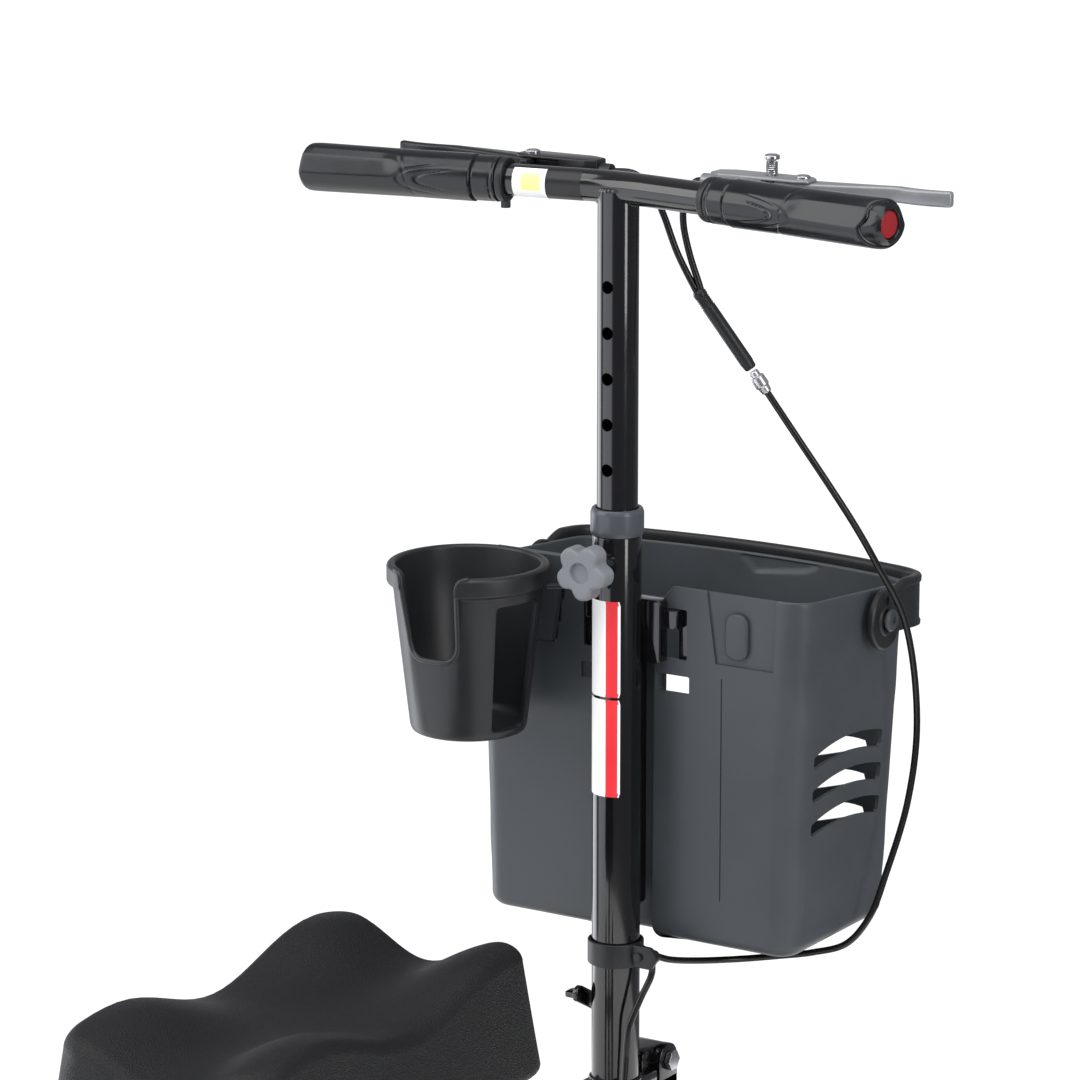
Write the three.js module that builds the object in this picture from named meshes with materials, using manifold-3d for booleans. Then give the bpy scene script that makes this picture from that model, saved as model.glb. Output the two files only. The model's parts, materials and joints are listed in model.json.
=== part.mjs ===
// Steerable knee scooter: a welded frame on four wheels, a height-adjustable knee pad, and a folding
// steering column with a T handlebar, two brake levers, a cup holder and a lift-off basket.
// Millimetres, +X to the rider's right, +Y forward, +Z up. The floor is z = 0.
// Inside the group, y = 0 is the steering column's axis; the group is moved forward by COLUMN_Y so that
// the origin is under the middle of the whole object.

import * as THREE from 'three';
import { mergeVertices } from 'three/addons/utils/BufferGeometryUtils.js';
import Module from 'manifold-3d';

const wasm = await Module();
wasm.setup();

// ---------------------------------------------------------------- driving dimensions

const GAP = 0.3; // clearance between pieces that rest on each other

const WHEEL_R = 101.5; // 8 inch wheels
const WHEEL_X = 170; // middle of each wheel from the centre line
const TYRE_W = 40;
const RIM_R = 73;
const AXLE_R = 6;

const REAR_AXLE_Y = -600;
const BAIL_FRONT_Y = 214; // the foremost point of the object
const COLUMN_Y = (WHEEL_R - REAR_AXLE_Y - BAIL_FRONT_Y) / 2;

const KINGPIN_X = 130;
const KINGPIN_R = 7;
const STEER_ARM = 40; // pitman and knuckle arms are alike, so the linkage is a parallelogram
const TIE_ROD_Z = 134;
const TIE_ROD_INNER_X = 9;

const HEAD_TUBE_BOTTOM = 150;
const HEAD_TUBE_TOP = 270;
const HEAD_TUBE_R = 21;
const SPINDLE_R = 14.3;

const FOLD_Y = 45;
const FOLD_Z = 308;
const LUG_R = 12;
const BASE_PLATE_Z = 296; // where the column's foot rests on the steering head

const STEM_R = 14.3; // 1-1/8 inch stem
const STEM_WALL = 2;
const COLUMN_R = 17;
const COLUMN_BORE_R = 14.75;
const COLUMN_TOP = 698.7;
const HOLE_PITCH = 31.75; // 1-1/4 inch
const HOLE_R = 4.45;
const TOP_HOLE_Z = 872.9;
const HOLE_COUNT = 8;
const STEM_BOTTOM = 480;
const COLUMN_KNOB_Z = 679;

const BAR_Z = 940;
const BAR_R = 11.1; // 7/8 inch bar
const BAR_WALL = 1.8;
const BAR_SWEEP = THREE.MathUtils.degToRad(9.43);
const BAR_HALF = 233.5; // from the middle to a grip's end, along the bar
const GRIP_LENGTH = 147;

const SEAT_Y = -353;
const SLEEVE_R = 20;
const SLEEVE_TOP = 300;
const SEAT_POST_R = 15.9;
const SEAT_PLATE_Z = 372;
const SEAT_KNOB_Z = 283;

const PAD = { halfWidth: 91, rear: -545, front: -221, bottom: 392.8, top: 482, dip: 23, humpMiddle: -371.5, humpReach: 150.5, edgeFall: 60 };

const BASKET = {
  bottom: 405, top: 661, near: 24, bottomHalf: 127, topHalf: 135.5,
  farCorner: 180, farMiddle: 200, bottomDepth: 0.91, corner: 20, wall: 3,
  rimSlope: 0.088, // the rim falls towards the front
  channelHalf: 15.2, channelDepth: 12, // the upright channel that clears the column
};
const VENT_STEP = 24.3; // between the three rows of vents
const HANG = { windowBottom: 609, windowTop: 645, inner: 17, outer: 42 }; // the two hanging windows
const BAIL = { pivotY: 124.5, pivotZ: 631, inner: 139, thick: 7, bottom: 621, top: 658, eyeR: 21.5 };
const CUP = { x: -98, y: -38, bottom: 554.5, top: 674.5, bottomR: 41, topR: 53, rimR: 56.7, wall: 3 };

const CABLE_R = 2.4;

// ---------------------------------------------------------------- finishes

const FINISH = {
  blackPaint: { color: 0x0a0a0c, roughness: 0.18, metalness: 0.4 },
  blackPlastic: { color: 0x1b1c1e, roughness: 0.45, metalness: 0 },
  basketPlastic: { color: 0x33373a, roughness: 0.5, metalness: 0 },
  cupPlastic: { color: 0x242527, roughness: 0.4, metalness: 0 },
  knobPlastic: { color: 0x3c3e40, roughness: 0.5, metalness: 0 },
  grip: { color: 0x111315, roughness: 0.25, metalness: 0 },
  foam: { color: 0x161617, roughness: 0.85, metalness: 0 },
  rubber: { color: 0x141414, roughness: 0.8, metalness: 0 },
  rim: { color: 0x2a2b2d, roughness: 0.5, metalness: 0 },
  steel: { color: 0xb4b6b8, roughness: 0.3, metalness: 1 },
  leverMetal: { color: 0x55595d, roughness: 0.4, metalness: 0.9 },
  reflector: { color: 0xa01222, roughness: 0.2, metalness: 0 },
  cable: { color: 0x0c0c0d, roughness: 0.35, metalness: 0 },
};

// ---------------------------------------------------------------- solids

const at = (x, y, z) => new THREE.Vector3(x, y, z);

function signedVolume(position, index) {
  const a = new THREE.Vector3();
  const b = new THREE.Vector3();
  const c = new THREE.Vector3();
  let sum = 0;
  for (let i = 0; i < index.length; i += 3) {
    a.fromBufferAttribute(position, index[i]);
    b.fromBufferAttribute(position, index[i + 1]);
    c.fromBufferAttribute(position, index[i + 2]);
    sum += a.dot(b.cross(c));
  }
  return sum / 6;
}

// A closed three.js geometry as a solid, with shared vertices merged and faces pointing out.
function solid(geometry) {
  const bare = new THREE.BufferGeometry();
  bare.setAttribute('position', geometry.attributes.position);
  if (geometry.index) bare.setIndex(geometry.index);
  const merged = mergeVertices(bare, 1e-4);
  const corners = merged.index.array;
  const kept = [];
  for (let i = 0; i < corners.length; i += 3) {
    const [a, b, c] = corners.slice(i, i + 3);
    if (a !== b && b !== c && c !== a) kept.push(a, b, c);
  }
  if (signedVolume(merged.attributes.position, kept) < 0) kept.reverse();
  return new wasm.Manifold(new wasm.Mesh({
    numProp: 3,
    vertProperties: Float32Array.from(merged.attributes.position.array),
    triVerts: Uint32Array.from(kept),
  }));
}

const join = (...parts) => wasm.Manifold.union(parts);
const cut = (body, ...tools) => body.subtract(join(...tools));

// Turns +Z to a direction, and moves to a place.
function aim(geometry, origin, direction) {
  const turn = new THREE.Quaternion().setFromUnitVectors(at(0, 0, 1), direction.clone().normalize());
  return geometry.applyMatrix4(new THREE.Matrix4().compose(origin, turn, at(1, 1, 1)));
}

function rod(radius, from, to, sides = 12) {
  const span = to.clone().sub(from);
  const geometry = new THREE.CylinderGeometry(radius, radius, span.length(), sides);
  geometry.rotateX(Math.PI / 2);
  return solid(aim(geometry, from.clone().addScaledVector(span, 0.5), span));
}

function block([x0, x1], [y0, y1], [z0, z1]) {
  const geometry = new THREE.BoxGeometry(x1 - x0, y1 - y0, z1 - z0);
  return solid(geometry.translate((x0 + x1) / 2, (y0 + y1) / 2, (z0 + z1) / 2));
}

// A turned solid: [radius, height] points of a profile that closes on itself, about an axis.
function turned(profile, origin, axis = at(0, 0, 1), sides = 20) {
  const points = profile.map(([r, h]) => new THREE.Vector2(r, h));
  points.push(points[0].clone());
  const geometry = new THREE.LatheGeometry(points, sides);
  geometry.rotateX(Math.PI / 2);
  return solid(aim(geometry, origin, axis));
}

function shapeOf(points) {
  return new THREE.Shape(points.map(([x, y]) => new THREE.Vector2(x, y)));
}

// A plate with a [x, y] outline, standing on height z0.
function plateZ(shape, z0, z1, curveSegments = 4) {
  const geometry = new THREE.ExtrudeGeometry(shape, { depth: z1 - z0, bevelEnabled: false, curveSegments });
  return solid(geometry.translate(0, 0, z0));
}

// A plate with a [y, z] outline, between x0 and x1.
function plateX(shape, x0, x1, curveSegments = 4) {
  const geometry = new THREE.ExtrudeGeometry(shape, { depth: x1 - x0, bevelEnabled: false, curveSegments });
  geometry.rotateX(Math.PI / 2).rotateZ(Math.PI / 2);
  return solid(geometry.translate(x0, 0, 0));
}

function circleShape(radius, sides) {
  const points = [];
  for (let i = 0; i < sides; i += 1) {
    const angle = (2 * Math.PI * i) / sides;
    points.push([radius * Math.cos(angle), radius * Math.sin(angle)]);
  }
  return shapeOf(points);
}

// A round bar along a smooth curve through the points.
function bentRod(radius, points, steps, sides = 12) {
  const path = new THREE.CatmullRomCurve3(points, false, 'centripetal');
  return solid(new THREE.ExtrudeGeometry(circleShape(radius, sides), {
    steps, bevelEnabled: false, extrudePath: path,
  }));
}

// A flat link with round ends, between two [x, y] points.
function linkShape([ax, ay], [bx, by], radius) {
  const angle = Math.atan2(by - ay, bx - ax);
  const shape = new THREE.Shape();
  shape.absarc(ax, ay, radius, angle + Math.PI / 2, angle + 1.5 * Math.PI, false);
  shape.absarc(bx, by, radius, angle - Math.PI / 2, angle + Math.PI / 2, false);
  return shape;
}

// ---------------------------------------------------------------- assembly

const scooter = new THREE.Group();
scooter.position.y = COLUMN_Y;

function piece(name, body, finish) {
  const { vertProperties, triVerts } = body.getMesh();
  const geometry = new THREE.BufferGeometry();
  geometry.setAttribute('position', new THREE.BufferAttribute(Float32Array.from(vertProperties), 3));
  geometry.setIndex(new THREE.BufferAttribute(Uint32Array.from(triVerts), 1));
  geometry.computeVertexNormals();
  const mesh = new THREE.Mesh(geometry, new THREE.MeshStandardMaterial(FINISH[finish]));
  mesh.name = name;
  scooter.add(mesh);
}

// ---------------------------------------------------------------- frame

const SPINE = [at(0, 0, 231), at(0, SEAT_Y, 170), at(0, REAR_AXLE_Y + 2.3, 102.6)];

function mainFrame() {
  const beamEnd = KINGPIN_X - 12;
  const solids = [
    rod(HEAD_TUBE_R, at(0, 0, HEAD_TUBE_BOTTOM), at(0, 0, HEAD_TUBE_TOP), 20),
    rod(19, SPINE[0], SPINE[1], 16),
    rod(19, SPINE[1], SPINE[2], 16),
    rod(SLEEVE_R, at(0, SEAT_Y, 128), at(0, SEAT_Y, SLEEVE_TOP), 20),
    rod(9, at(0, SEAT_Y - 30, SEAT_KNOB_Z), at(0, SEAT_Y - 16, SEAT_KNOB_Z), 12),
    rod(14, at(-125, REAR_AXLE_Y, 101.5), at(125, REAR_AXLE_Y, 101.5)),
    rod(27, at(120, REAR_AXLE_Y, 101.5), at(125, REAR_AXLE_Y, 101.5)),
    plateX(shapeOf([[-20, 154], [-20, 215], [-115, 200]]), -2, 2),
    plateX(shapeOf([[SEAT_Y + 19, 185], [SEAT_Y + 19, 262], [SEAT_Y + 85, 190]]), -2, 2),
  ];
  const bores = [
    rod(16.5, SPINE[0], SPINE[1]),
    rod(16.5, SPINE[1], SPINE[2]),
    rod(16.4, at(0, SEAT_Y, 120), at(0, SEAT_Y, 310), 20),
    rod(3.4, at(0, SEAT_Y - 40, SEAT_KNOB_Z), at(0, SEAT_Y, SEAT_KNOB_Z), 12),
    rod(17.9, at(0, 0, 140), at(0, 0, 280), 20),
    rod(11.5, at(-112, REAR_AXLE_Y, 101.5), at(112, REAR_AXLE_Y, 101.5)),
    rod(AXLE_R + GAP, at(-140, REAR_AXLE_Y, 101.5), at(140, REAR_AXLE_Y, 101.5), 16),
  ];
  for (const side of [-1, 1]) {
    const x = side * KINGPIN_X;
    solids.push(rod(12.7, at(0, 0, 190), at(x, 0, 190)));
    solids.push(rod(13, at(x, 0, 160), at(x, 0, 222), 16));
    bores.push(rod(10.5, at(0, 0, 190), at(side * beamEnd, 0, 190), 8));
    bores.push(rod(KINGPIN_R + GAP, at(x, 0, 150), at(x, 0, 230), 16));
  }
  return cut(join(...solids), ...bores);
}

function headBush(name, from, flangeTop) {
  const outward = flangeTop > from ? 1 : -1;
  const body = turned([
    [14.6, from], [17.6, from], [17.6, flangeTop - outward * 4.4], [22, flangeTop - outward * 4.4],
    [22, flangeTop], [14.6, flangeTop],
  ], at(0, 0, 0));
  piece(name, body, 'blackPlastic');
}

function buildFrame() {
  piece('main_frame', mainFrame(), 'blackPaint');
  headBush('head_bush_upper', 244, HEAD_TUBE_TOP + GAP + 4.4);
  headBush('head_bush_lower', 176, HEAD_TUBE_BOTTOM - GAP - 4.4);

  const hex = (x0, x1) => rod(10.5, at(x0, REAR_AXLE_Y, 101.5), at(x1, REAR_AXLE_Y, 101.5), 6);
  piece('rear_axle', join(
    rod(AXLE_R, at(-201, REAR_AXLE_Y, 101.5), at(201, REAR_AXLE_Y, 101.5), 16),
    hex(-199, -192.5), hex(192.5, 199),
  ), 'steel');

  const collar = turned([
    [16.4, SLEEVE_TOP + GAP], [21, SLEEVE_TOP + GAP], [21, SLEEVE_TOP + 12], [19, SLEEVE_TOP + 14],
    [16.4, SLEEVE_TOP + 14],
  ], at(0, SEAT_Y, 0));
  piece('seat_sleeve_collar', collar, 'blackPlastic');
}

// ---------------------------------------------------------------- brake on the right rear wheel

const DRUM_R = 46;
const BRAKE_ARM = { x0: 108.6, x1: 112.6, y: REAR_AXLE_Y + 26, z: 127 };

function buildBrake() {
  const centre = at(0, REAR_AXLE_Y, 101.5);
  const xAxis = at(1, 0, 0);
  const camBore = rod(4.3, at(100, BRAKE_ARM.y, BRAKE_ARM.z), at(150, BRAKE_ARM.y, BRAKE_ARM.z), 12);
  const plate = turned([
    [14.5, 125.3], [DRUM_R + 3, 125.3], [DRUM_R + 3, 136], [DRUM_R + 1.4, 136], [DRUM_R + 1.4, 128.3],
    [14.5, 128.3],
  ], centre, xAxis, 16);
  piece('brake_backing_plate', cut(plate, camBore), 'rim');
  piece('brake_drum', turned([
    [AXLE_R + 0.6, 145], [DRUM_R, 145], [DRUM_R, 130], [DRUM_R - 4.5, 130], [DRUM_R - 4.5, 141], [AXLE_R + 0.6, 141],
  ], centre, xAxis, 16), 'steel');

  for (const [name, side] of [['brake_shoe_upper', 1], ['brake_shoe_lower', -1]]) {
    const shape = new THREE.Shape();
    const camAngle = Math.atan2(BRAKE_ARM.z - 101.5, BRAKE_ARM.y - REAR_AXLE_Y);
    const start = camAngle + (side > 0 ? 0.35 : Math.PI + 0.35);
    const end = start + Math.PI - 0.7;
    shape.absarc(0, 0, DRUM_R - 6, start, end, false);
    shape.absarc(0, 0, DRUM_R - 15, end, start, true);
    const shoe = plateX(shape, 129.5, 139.5, 6).translate([0, REAR_AXLE_Y, 101.5]);
    piece(name, cut(shoe, rod(6, at(120, BRAKE_ARM.y, BRAKE_ARM.z), at(150, BRAKE_ARM.y, BRAKE_ARM.z), 12)), 'steel');
  }

  const arm = join(
    plateX(linkShape([BRAKE_ARM.y, BRAKE_ARM.z], [BRAKE_ARM.y + 16, BRAKE_ARM.z + 42], 7), BRAKE_ARM.x0, BRAKE_ARM.x1, 6),
    rod(4, at(BRAKE_ARM.x0 + 1, BRAKE_ARM.y, BRAKE_ARM.z), at(136, BRAKE_ARM.y, BRAKE_ARM.z), 12),
  );
  piece('brake_arm', cut(arm, rod(2.6, at(100, BRAKE_ARM.y + 16, BRAKE_ARM.z + 42),
    at(120, BRAKE_ARM.y + 16, BRAKE_ARM.z + 42), 8)), 'steel');
}

// ---------------------------------------------------------------- steering

function buildSteering() {
  const pitman = plateZ(shapeOf([
    [-18, 0], [-19, -STEER_ARM + 6], [-12, -STEER_ARM - 9], [12, -STEER_ARM - 9], [19, -STEER_ARM + 6], [18, 0],
  ]), 120, 129.2);
  const earShape = new THREE.Shape();
  earShape.moveTo(FOLD_Y + LUG_R, BASE_PLATE_Z - 8);
  earShape.absarc(FOLD_Y, FOLD_Z, LUG_R, 0, Math.PI, false);
  earShape.lineTo(FOLD_Y - LUG_R, BASE_PLATE_Z - 8);
  const spindle = join(
    rod(SPINDLE_R, at(0, 0, 112), at(0, 0, 290), 20),
    rod(18, at(0, 0, 120), at(0, 0, 129.2), 16),
    rod(21, at(0, 0, 275), at(0, 0, BASE_PLATE_Z - 2), 20),
    pitman,
    block([-17, 17], [-24, FOLD_Y + LUG_R], [BASE_PLATE_Z - 8, BASE_PLATE_Z - GAP]),
    plateX(earShape, -17, -10.6),
    plateX(earShape, 10.6, 17),
    ...[-1, 1].map((side) => rod(3.6, at(side * TIE_ROD_INNER_X, -STEER_ARM, 125),
      at(side * TIE_ROD_INNER_X, -STEER_ARM, 141), 8)),
  );
  piece('steering_spindle', cut(
    spindle,
    rod(11, at(0, 0, 100), at(0, 0, 284), 20),
    rod(4.3, at(-30, FOLD_Y, FOLD_Z), at(30, FOLD_Y, FOLD_Z), 12),
  ), 'blackPaint');

  for (const [name, side] of [['left', -1], ['right', 1]]) {
    const x = side * KINGPIN_X;
    const armX = side * (KINGPIN_X + TIE_ROD_INNER_X);
    const knuckle = join(
      rod(KINGPIN_R, at(x, 0, 100), at(x, 0, 232), 16),
      rod(11, at(x, 0, 222 + GAP), at(x, 0, 229), 6),
      rod(13, at(x, 0, 110), at(x, 0, 160 - GAP)),
      plateZ(linkShape([x, 0], [armX, -STEER_ARM], 8), 120, 129.2, 4),
      rod(3.6, at(armX, -STEER_ARM, 125), at(armX, -STEER_ARM, 141), 8),
      block([Math.min(x - 12, x + 12), Math.max(x - 12, x + 12)], [-13, 13], [88, 116]),
      rod(AXLE_R, at(x, 0, 101.5), at(side * 201, 0, 101.5), 16),
    );
    piece(`steering_knuckle_${name}`, knuckle, 'blackPaint');
    piece(`front_axle_nut_${name}`, cut(
      rod(10.5, at(side * 192.5, 0, 101.5), at(side * 198.5, 0, 101.5), 6),
      rod(AXLE_R + GAP, at(side * 180, 0, 101.5), at(side * 210, 0, 101.5), 16),
    ), 'steel');

    const inner = side * TIE_ROD_INNER_X;
    const eyes = [inner, armX].map((ex) => rod(7.5, at(ex, -STEER_ARM, TIE_ROD_Z - 4), at(ex, -STEER_ARM, TIE_ROD_Z + 4), 8));
    const bores = [inner, armX].map((ex) => rod(4, at(ex, -STEER_ARM, 120), at(ex, -STEER_ARM, 150), 8));
    const bar = rod(4.5, at(inner + side * 5, -STEER_ARM, TIE_ROD_Z), at(armX - side * 5, -STEER_ARM, TIE_ROD_Z), 8);
    piece(`tie_rod_${name}`, cut(join(bar, ...eyes), ...bores), 'steel');
  }
}

// ---------------------------------------------------------------- wheels

function wheel(name, centreX, centreY) {
  const centre = at(centreX, centreY, 101.5);
  const axis = at(1, 0, 0);
  const half = TYRE_W / 2;
  const tyre = turned([
    [RIM_R + 1.3, -half + 3], [WHEEL_R - 9, -half], [WHEEL_R, -9], [WHEEL_R, 9], [WHEEL_R - 9, half], [RIM_R + 1.3, half - 3],
  ], centre, axis, 20);
  piece(`${name}_tyre`, tyre, 'rubber');

  const hub = turned([
    [AXLE_R + 0.35, -19], [15, -19], [17, -7], [62, -4], [65, -17], [RIM_R, -17], [RIM_R, 17], [65, 17], [62, 4],
    [17, 7], [15, 19], [AXLE_R + 0.35, 19],
  ], centre, axis, 16);
  const windows = [];
  const spokes = 5;
  for (let i = 0; i < spokes; i += 1) {
    const middle = (2 * Math.PI * i) / spokes;
    const corner = (radius, angle) => [radius * Math.cos(middle + angle), radius * Math.sin(middle + angle)];
    const shape = shapeOf([corner(26, -0.3), corner(56, -0.42), corner(56, 0.42), corner(26, 0.3)]);
    windows.push(plateX(shape, centreX - 12, centreX + 12).translate([0, centreY, 101.5]));
  }
  piece(`${name}_wheel`, cut(hub, ...windows), 'rim');
}

function buildWheels() {
  for (const [side, x] of [['left', -WHEEL_X], ['right', WHEEL_X]]) {
    wheel(`front_${side}`, x, 0);
    wheel(`rear_${side}`, x, REAR_AXLE_Y);
  }
}

// ---------------------------------------------------------------- knobs

// A five-lobed knob with a clamp screw; its screw points along +Y and ends at tipY.
function starKnob(y0, z, stemLength, tipY) {
  const outline = [];
  const steps = 30;
  for (let i = 0; i < steps; i += 1) {
    const angle = (2 * Math.PI * i) / steps;
    const radius = 17.2 + 3.2 * Math.cos(5 * angle);
    outline.push([radius * Math.sin(angle), radius * Math.cos(angle)]);
  }
  const disc = new THREE.ExtrudeGeometry(shapeOf(outline), { depth: 16, bevelEnabled: false });
  disc.rotateX(Math.PI / 2).translate(0, y0 + 16, z);
  const recess = rod(7, at(0, y0 - 1, z), at(0, y0 + 2, z), 12);
  return join(
    cut(solid(disc), recess),
    rod(8.5, at(0, y0 + 15, z), at(0, y0 + 15 + stemLength, z), 12),
    rod(3, at(0, y0 + 15, z), at(0, tipY, z), 12),
  );
}

// ---------------------------------------------------------------- knee rest

function buildKneeRest() {
  const saddle = shapeOf([[-55, -62], [55, -62], [55, 62], [-55, 62]]);
  piece('seat_post', join(
    cut(
      rod(SEAT_POST_R, at(0, SEAT_Y, 168), at(0, SEAT_Y, SEAT_PLATE_Z + 1), 20),
      rod(SEAT_POST_R - 2.2, at(0, SEAT_Y, 160), at(0, SEAT_Y, SEAT_PLATE_Z - 3), 20),
    ),
    plateZ(saddle, SEAT_PLATE_Z, SEAT_PLATE_Z + 5).translate([0, SEAT_Y, 0]),
    plateX(shapeOf([[14, 372.5], [52, 372.5], [14, 345]]), -2, 2).translate([0, SEAT_Y, 0]),
    plateX(shapeOf([[-14, 372.5], [-52, 372.5], [-14, 345]]), -2, 2).translate([0, SEAT_Y, 0]),
  ), 'blackPaint');
  piece('seat_clamp_knob', starKnob(SEAT_Y - 54, SEAT_KNOB_Z, 8.5, SEAT_Y - SEAT_POST_R - GAP), 'knobPlastic');

  const middle = (PAD.front + PAD.rear) / 2;
  const boardHalf = [PAD.halfWidth - 14, (PAD.front - PAD.rear) / 2 - 14];
  const board = new THREE.Shape();
  const r = 24;
  board.absarc(boardHalf[0] - r, boardHalf[1] - r, r, 0, Math.PI / 2, false);
  board.absarc(-boardHalf[0] + r, boardHalf[1] - r, r, Math.PI / 2, Math.PI, false);
  board.absarc(-boardHalf[0] + r, -boardHalf[1] + r, r, Math.PI, 1.5 * Math.PI, false);
  board.absarc(boardHalf[0] - r, -boardHalf[1] + r, r, 1.5 * Math.PI, 2 * Math.PI, false);
  const boardTop = PAD.bottom - GAP;
  piece('pad_board', plateZ(board, SEAT_PLATE_Z + 5 + GAP, boardTop, 5).translate([0, middle, 0]), 'blackPlastic');

  const depth = PAD.front - PAD.rear;
  const foam = new THREE.BoxGeometry(2 * PAD.halfWidth, depth, PAD.top - PAD.bottom, 8, 10, 1);
  const position = foam.attributes.position;
  for (let i = 0; i < position.count; i += 1) {
    if (position.getZ(i) < 0) continue;
    const u = position.getX(i) / PAD.halfWidth;
    const v = (position.getY(i) + middle - PAD.humpMiddle) / PAD.humpReach;
    const acrossHump = Math.min(1, Math.abs(u) / 0.7);
    const alongHump = Math.min(1, Math.abs(v) / 0.71);
    const hump = Math.sin(acrossHump * Math.PI / 2) ** 2 * Math.sin(alongHump * Math.PI / 2) ** 2;
    const edge = (Math.max(0, Math.abs(u) - 0.7) ** 2 + Math.max(0, Math.abs(v) - 0.71) ** 2) * PAD.edgeFall;
    position.setZ(i, position.getZ(i) - PAD.dip * (1 - hump) - edge);
  }
  piece('knee_pad', solid(foam.translate(0, middle, (PAD.top + PAD.bottom) / 2)), 'foam');
}

// ---------------------------------------------------------------- column

const LEVER = { tip: [-12, 366], elbow: [40, 337], hub: [FOLD_Y, FOLD_Z], x0: -25, x1: -21 };

function buildColumn() {
  const foot = join(
    block([-17, 17], [-24, 30], [BASE_PLATE_Z, BASE_PLATE_Z + 9]),
    block([-10.2, 10.2], [20, FOLD_Y], [BASE_PLATE_Z, BASE_PLATE_Z + 18]),
    rod(LUG_R - GAP, at(-10.2, FOLD_Y, FOLD_Z), at(10.2, FOLD_Y, FOLD_Z), 16),
  );
  const tube = cut(
    rod(COLUMN_R, at(0, 0, BASE_PLATE_Z + 5), at(0, 0, COLUMN_TOP), 20),
    rod(COLUMN_BORE_R, at(0, 0, BASE_PLATE_Z + 12), at(0, 0, COLUMN_TOP + 5), 20),
  );
  const boss = rod(9, at(0, -27, COLUMN_KNOB_Z), at(0, -COLUMN_R + 0.8, COLUMN_KNOB_Z), 12);
  piece('lower_column', cut(
    join(foot, tube, boss),
    rod(3.4, at(0, -40, COLUMN_KNOB_Z), at(0, -5, COLUMN_KNOB_Z), 12),
    rod(4.3, at(-30, FOLD_Y, FOLD_Z), at(30, FOLD_Y, FOLD_Z), 12),
  ), 'blackPaint');

  piece('fold_pin', join(
    rod(4, at(-27, FOLD_Y, FOLD_Z), at(19, FOLD_Y, FOLD_Z), 12),
    rod(7.5, at(-29, FOLD_Y, FOLD_Z), at(-25.4, FOLD_Y, FOLD_Z), 6),
    rod(7.5, at(17.4, FOLD_Y, FOLD_Z), at(22, FOLD_Y, FOLD_Z), 6),
  ), 'steel');

  const [tipY, tipZ] = LEVER.tip;
  const [elbowY, elbowZ] = LEVER.elbow;
  piece('fold_release_lever', cut(
    join(
      plateX(linkShape([tipY, tipZ], [elbowY, elbowZ], 6), LEVER.x0, LEVER.x1, 5),
      plateX(linkShape([elbowY, elbowZ], LEVER.hub, 7), LEVER.x0, LEVER.x1, 5),
      rod(9, at(LEVER.x0, FOLD_Y, FOLD_Z), at(-17.4, FOLD_Y, FOLD_Z), 12),
      block([-33, LEVER.x0 + 1], [tipY - 4, tipY + 8], [tipZ - 3, tipZ + 1]),
    ),
    rod(4.35, at(-40, FOLD_Y, FOLD_Z), at(0, FOLD_Y, FOLD_Z), 12),
  ), 'blackPaint');

  piece('column_collar', turned([
    [COLUMN_BORE_R, COLUMN_TOP + GAP], [18, COLUMN_TOP + GAP], [18.6, COLUMN_TOP + 3], [18.6, 715],
    [17.4, 718], [COLUMN_BORE_R, 718],
  ], at(0, 0, 0), at(0, 0, 1), 20), 'blackPlastic');

  const knobStart = -50;
  piece('column_clamp_knob', starKnob(knobStart, COLUMN_KNOB_Z, 7.5, -STEM_R - GAP - 0.2), 'knobPlastic');

  piece('cable_clip', cut(
    join(
      rod(20, at(0, 0, 391), at(0, 0, 408), 20),
      block([14, 33], [-7.5, -3.5], [391, 408]),
      rod(8, at(31, -7.5, 399.5), at(31, -3.5, 399.5), 12),
    ),
    rod(COLUMN_R + GAP, at(0, 0, 380), at(0, 0, 420), 20),
    rod(2.2, at(31, -20, 399.5), at(31, 10, 399.5), 12),
  ), 'blackPlastic');
}

function buildBasketBracket() {
  const wallInside = BASKET.near + BASKET.wall + 1;
  const hooks = [-1, 1].map((side) => {
    const across = (x0, x1) => [side * x0, side * x1].sort((a, b) => a - b);
    return join(
      block(across(22, 37), [19, wallInside + 3.5], [631, HANG.windowTop - 0.4]),
      block(across(33, 47), [wallInside, wallInside + 3.5], [605, 654]),
    );
  });
  piece('basket_bracket', cut(
    join(
      block([-34, 34], [12, BASKET.near - 1.5], [607, 652]),
      block([-11, 11], [12, BASKET.near - 1.5], [430, 612]),
      ...hooks,
    ),
    rod(COLUMN_R + GAP, at(0, 0, 420), at(0, 0, 670), 20),
  ), 'blackPaint');
}

// ---------------------------------------------------------------- cup holder

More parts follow.
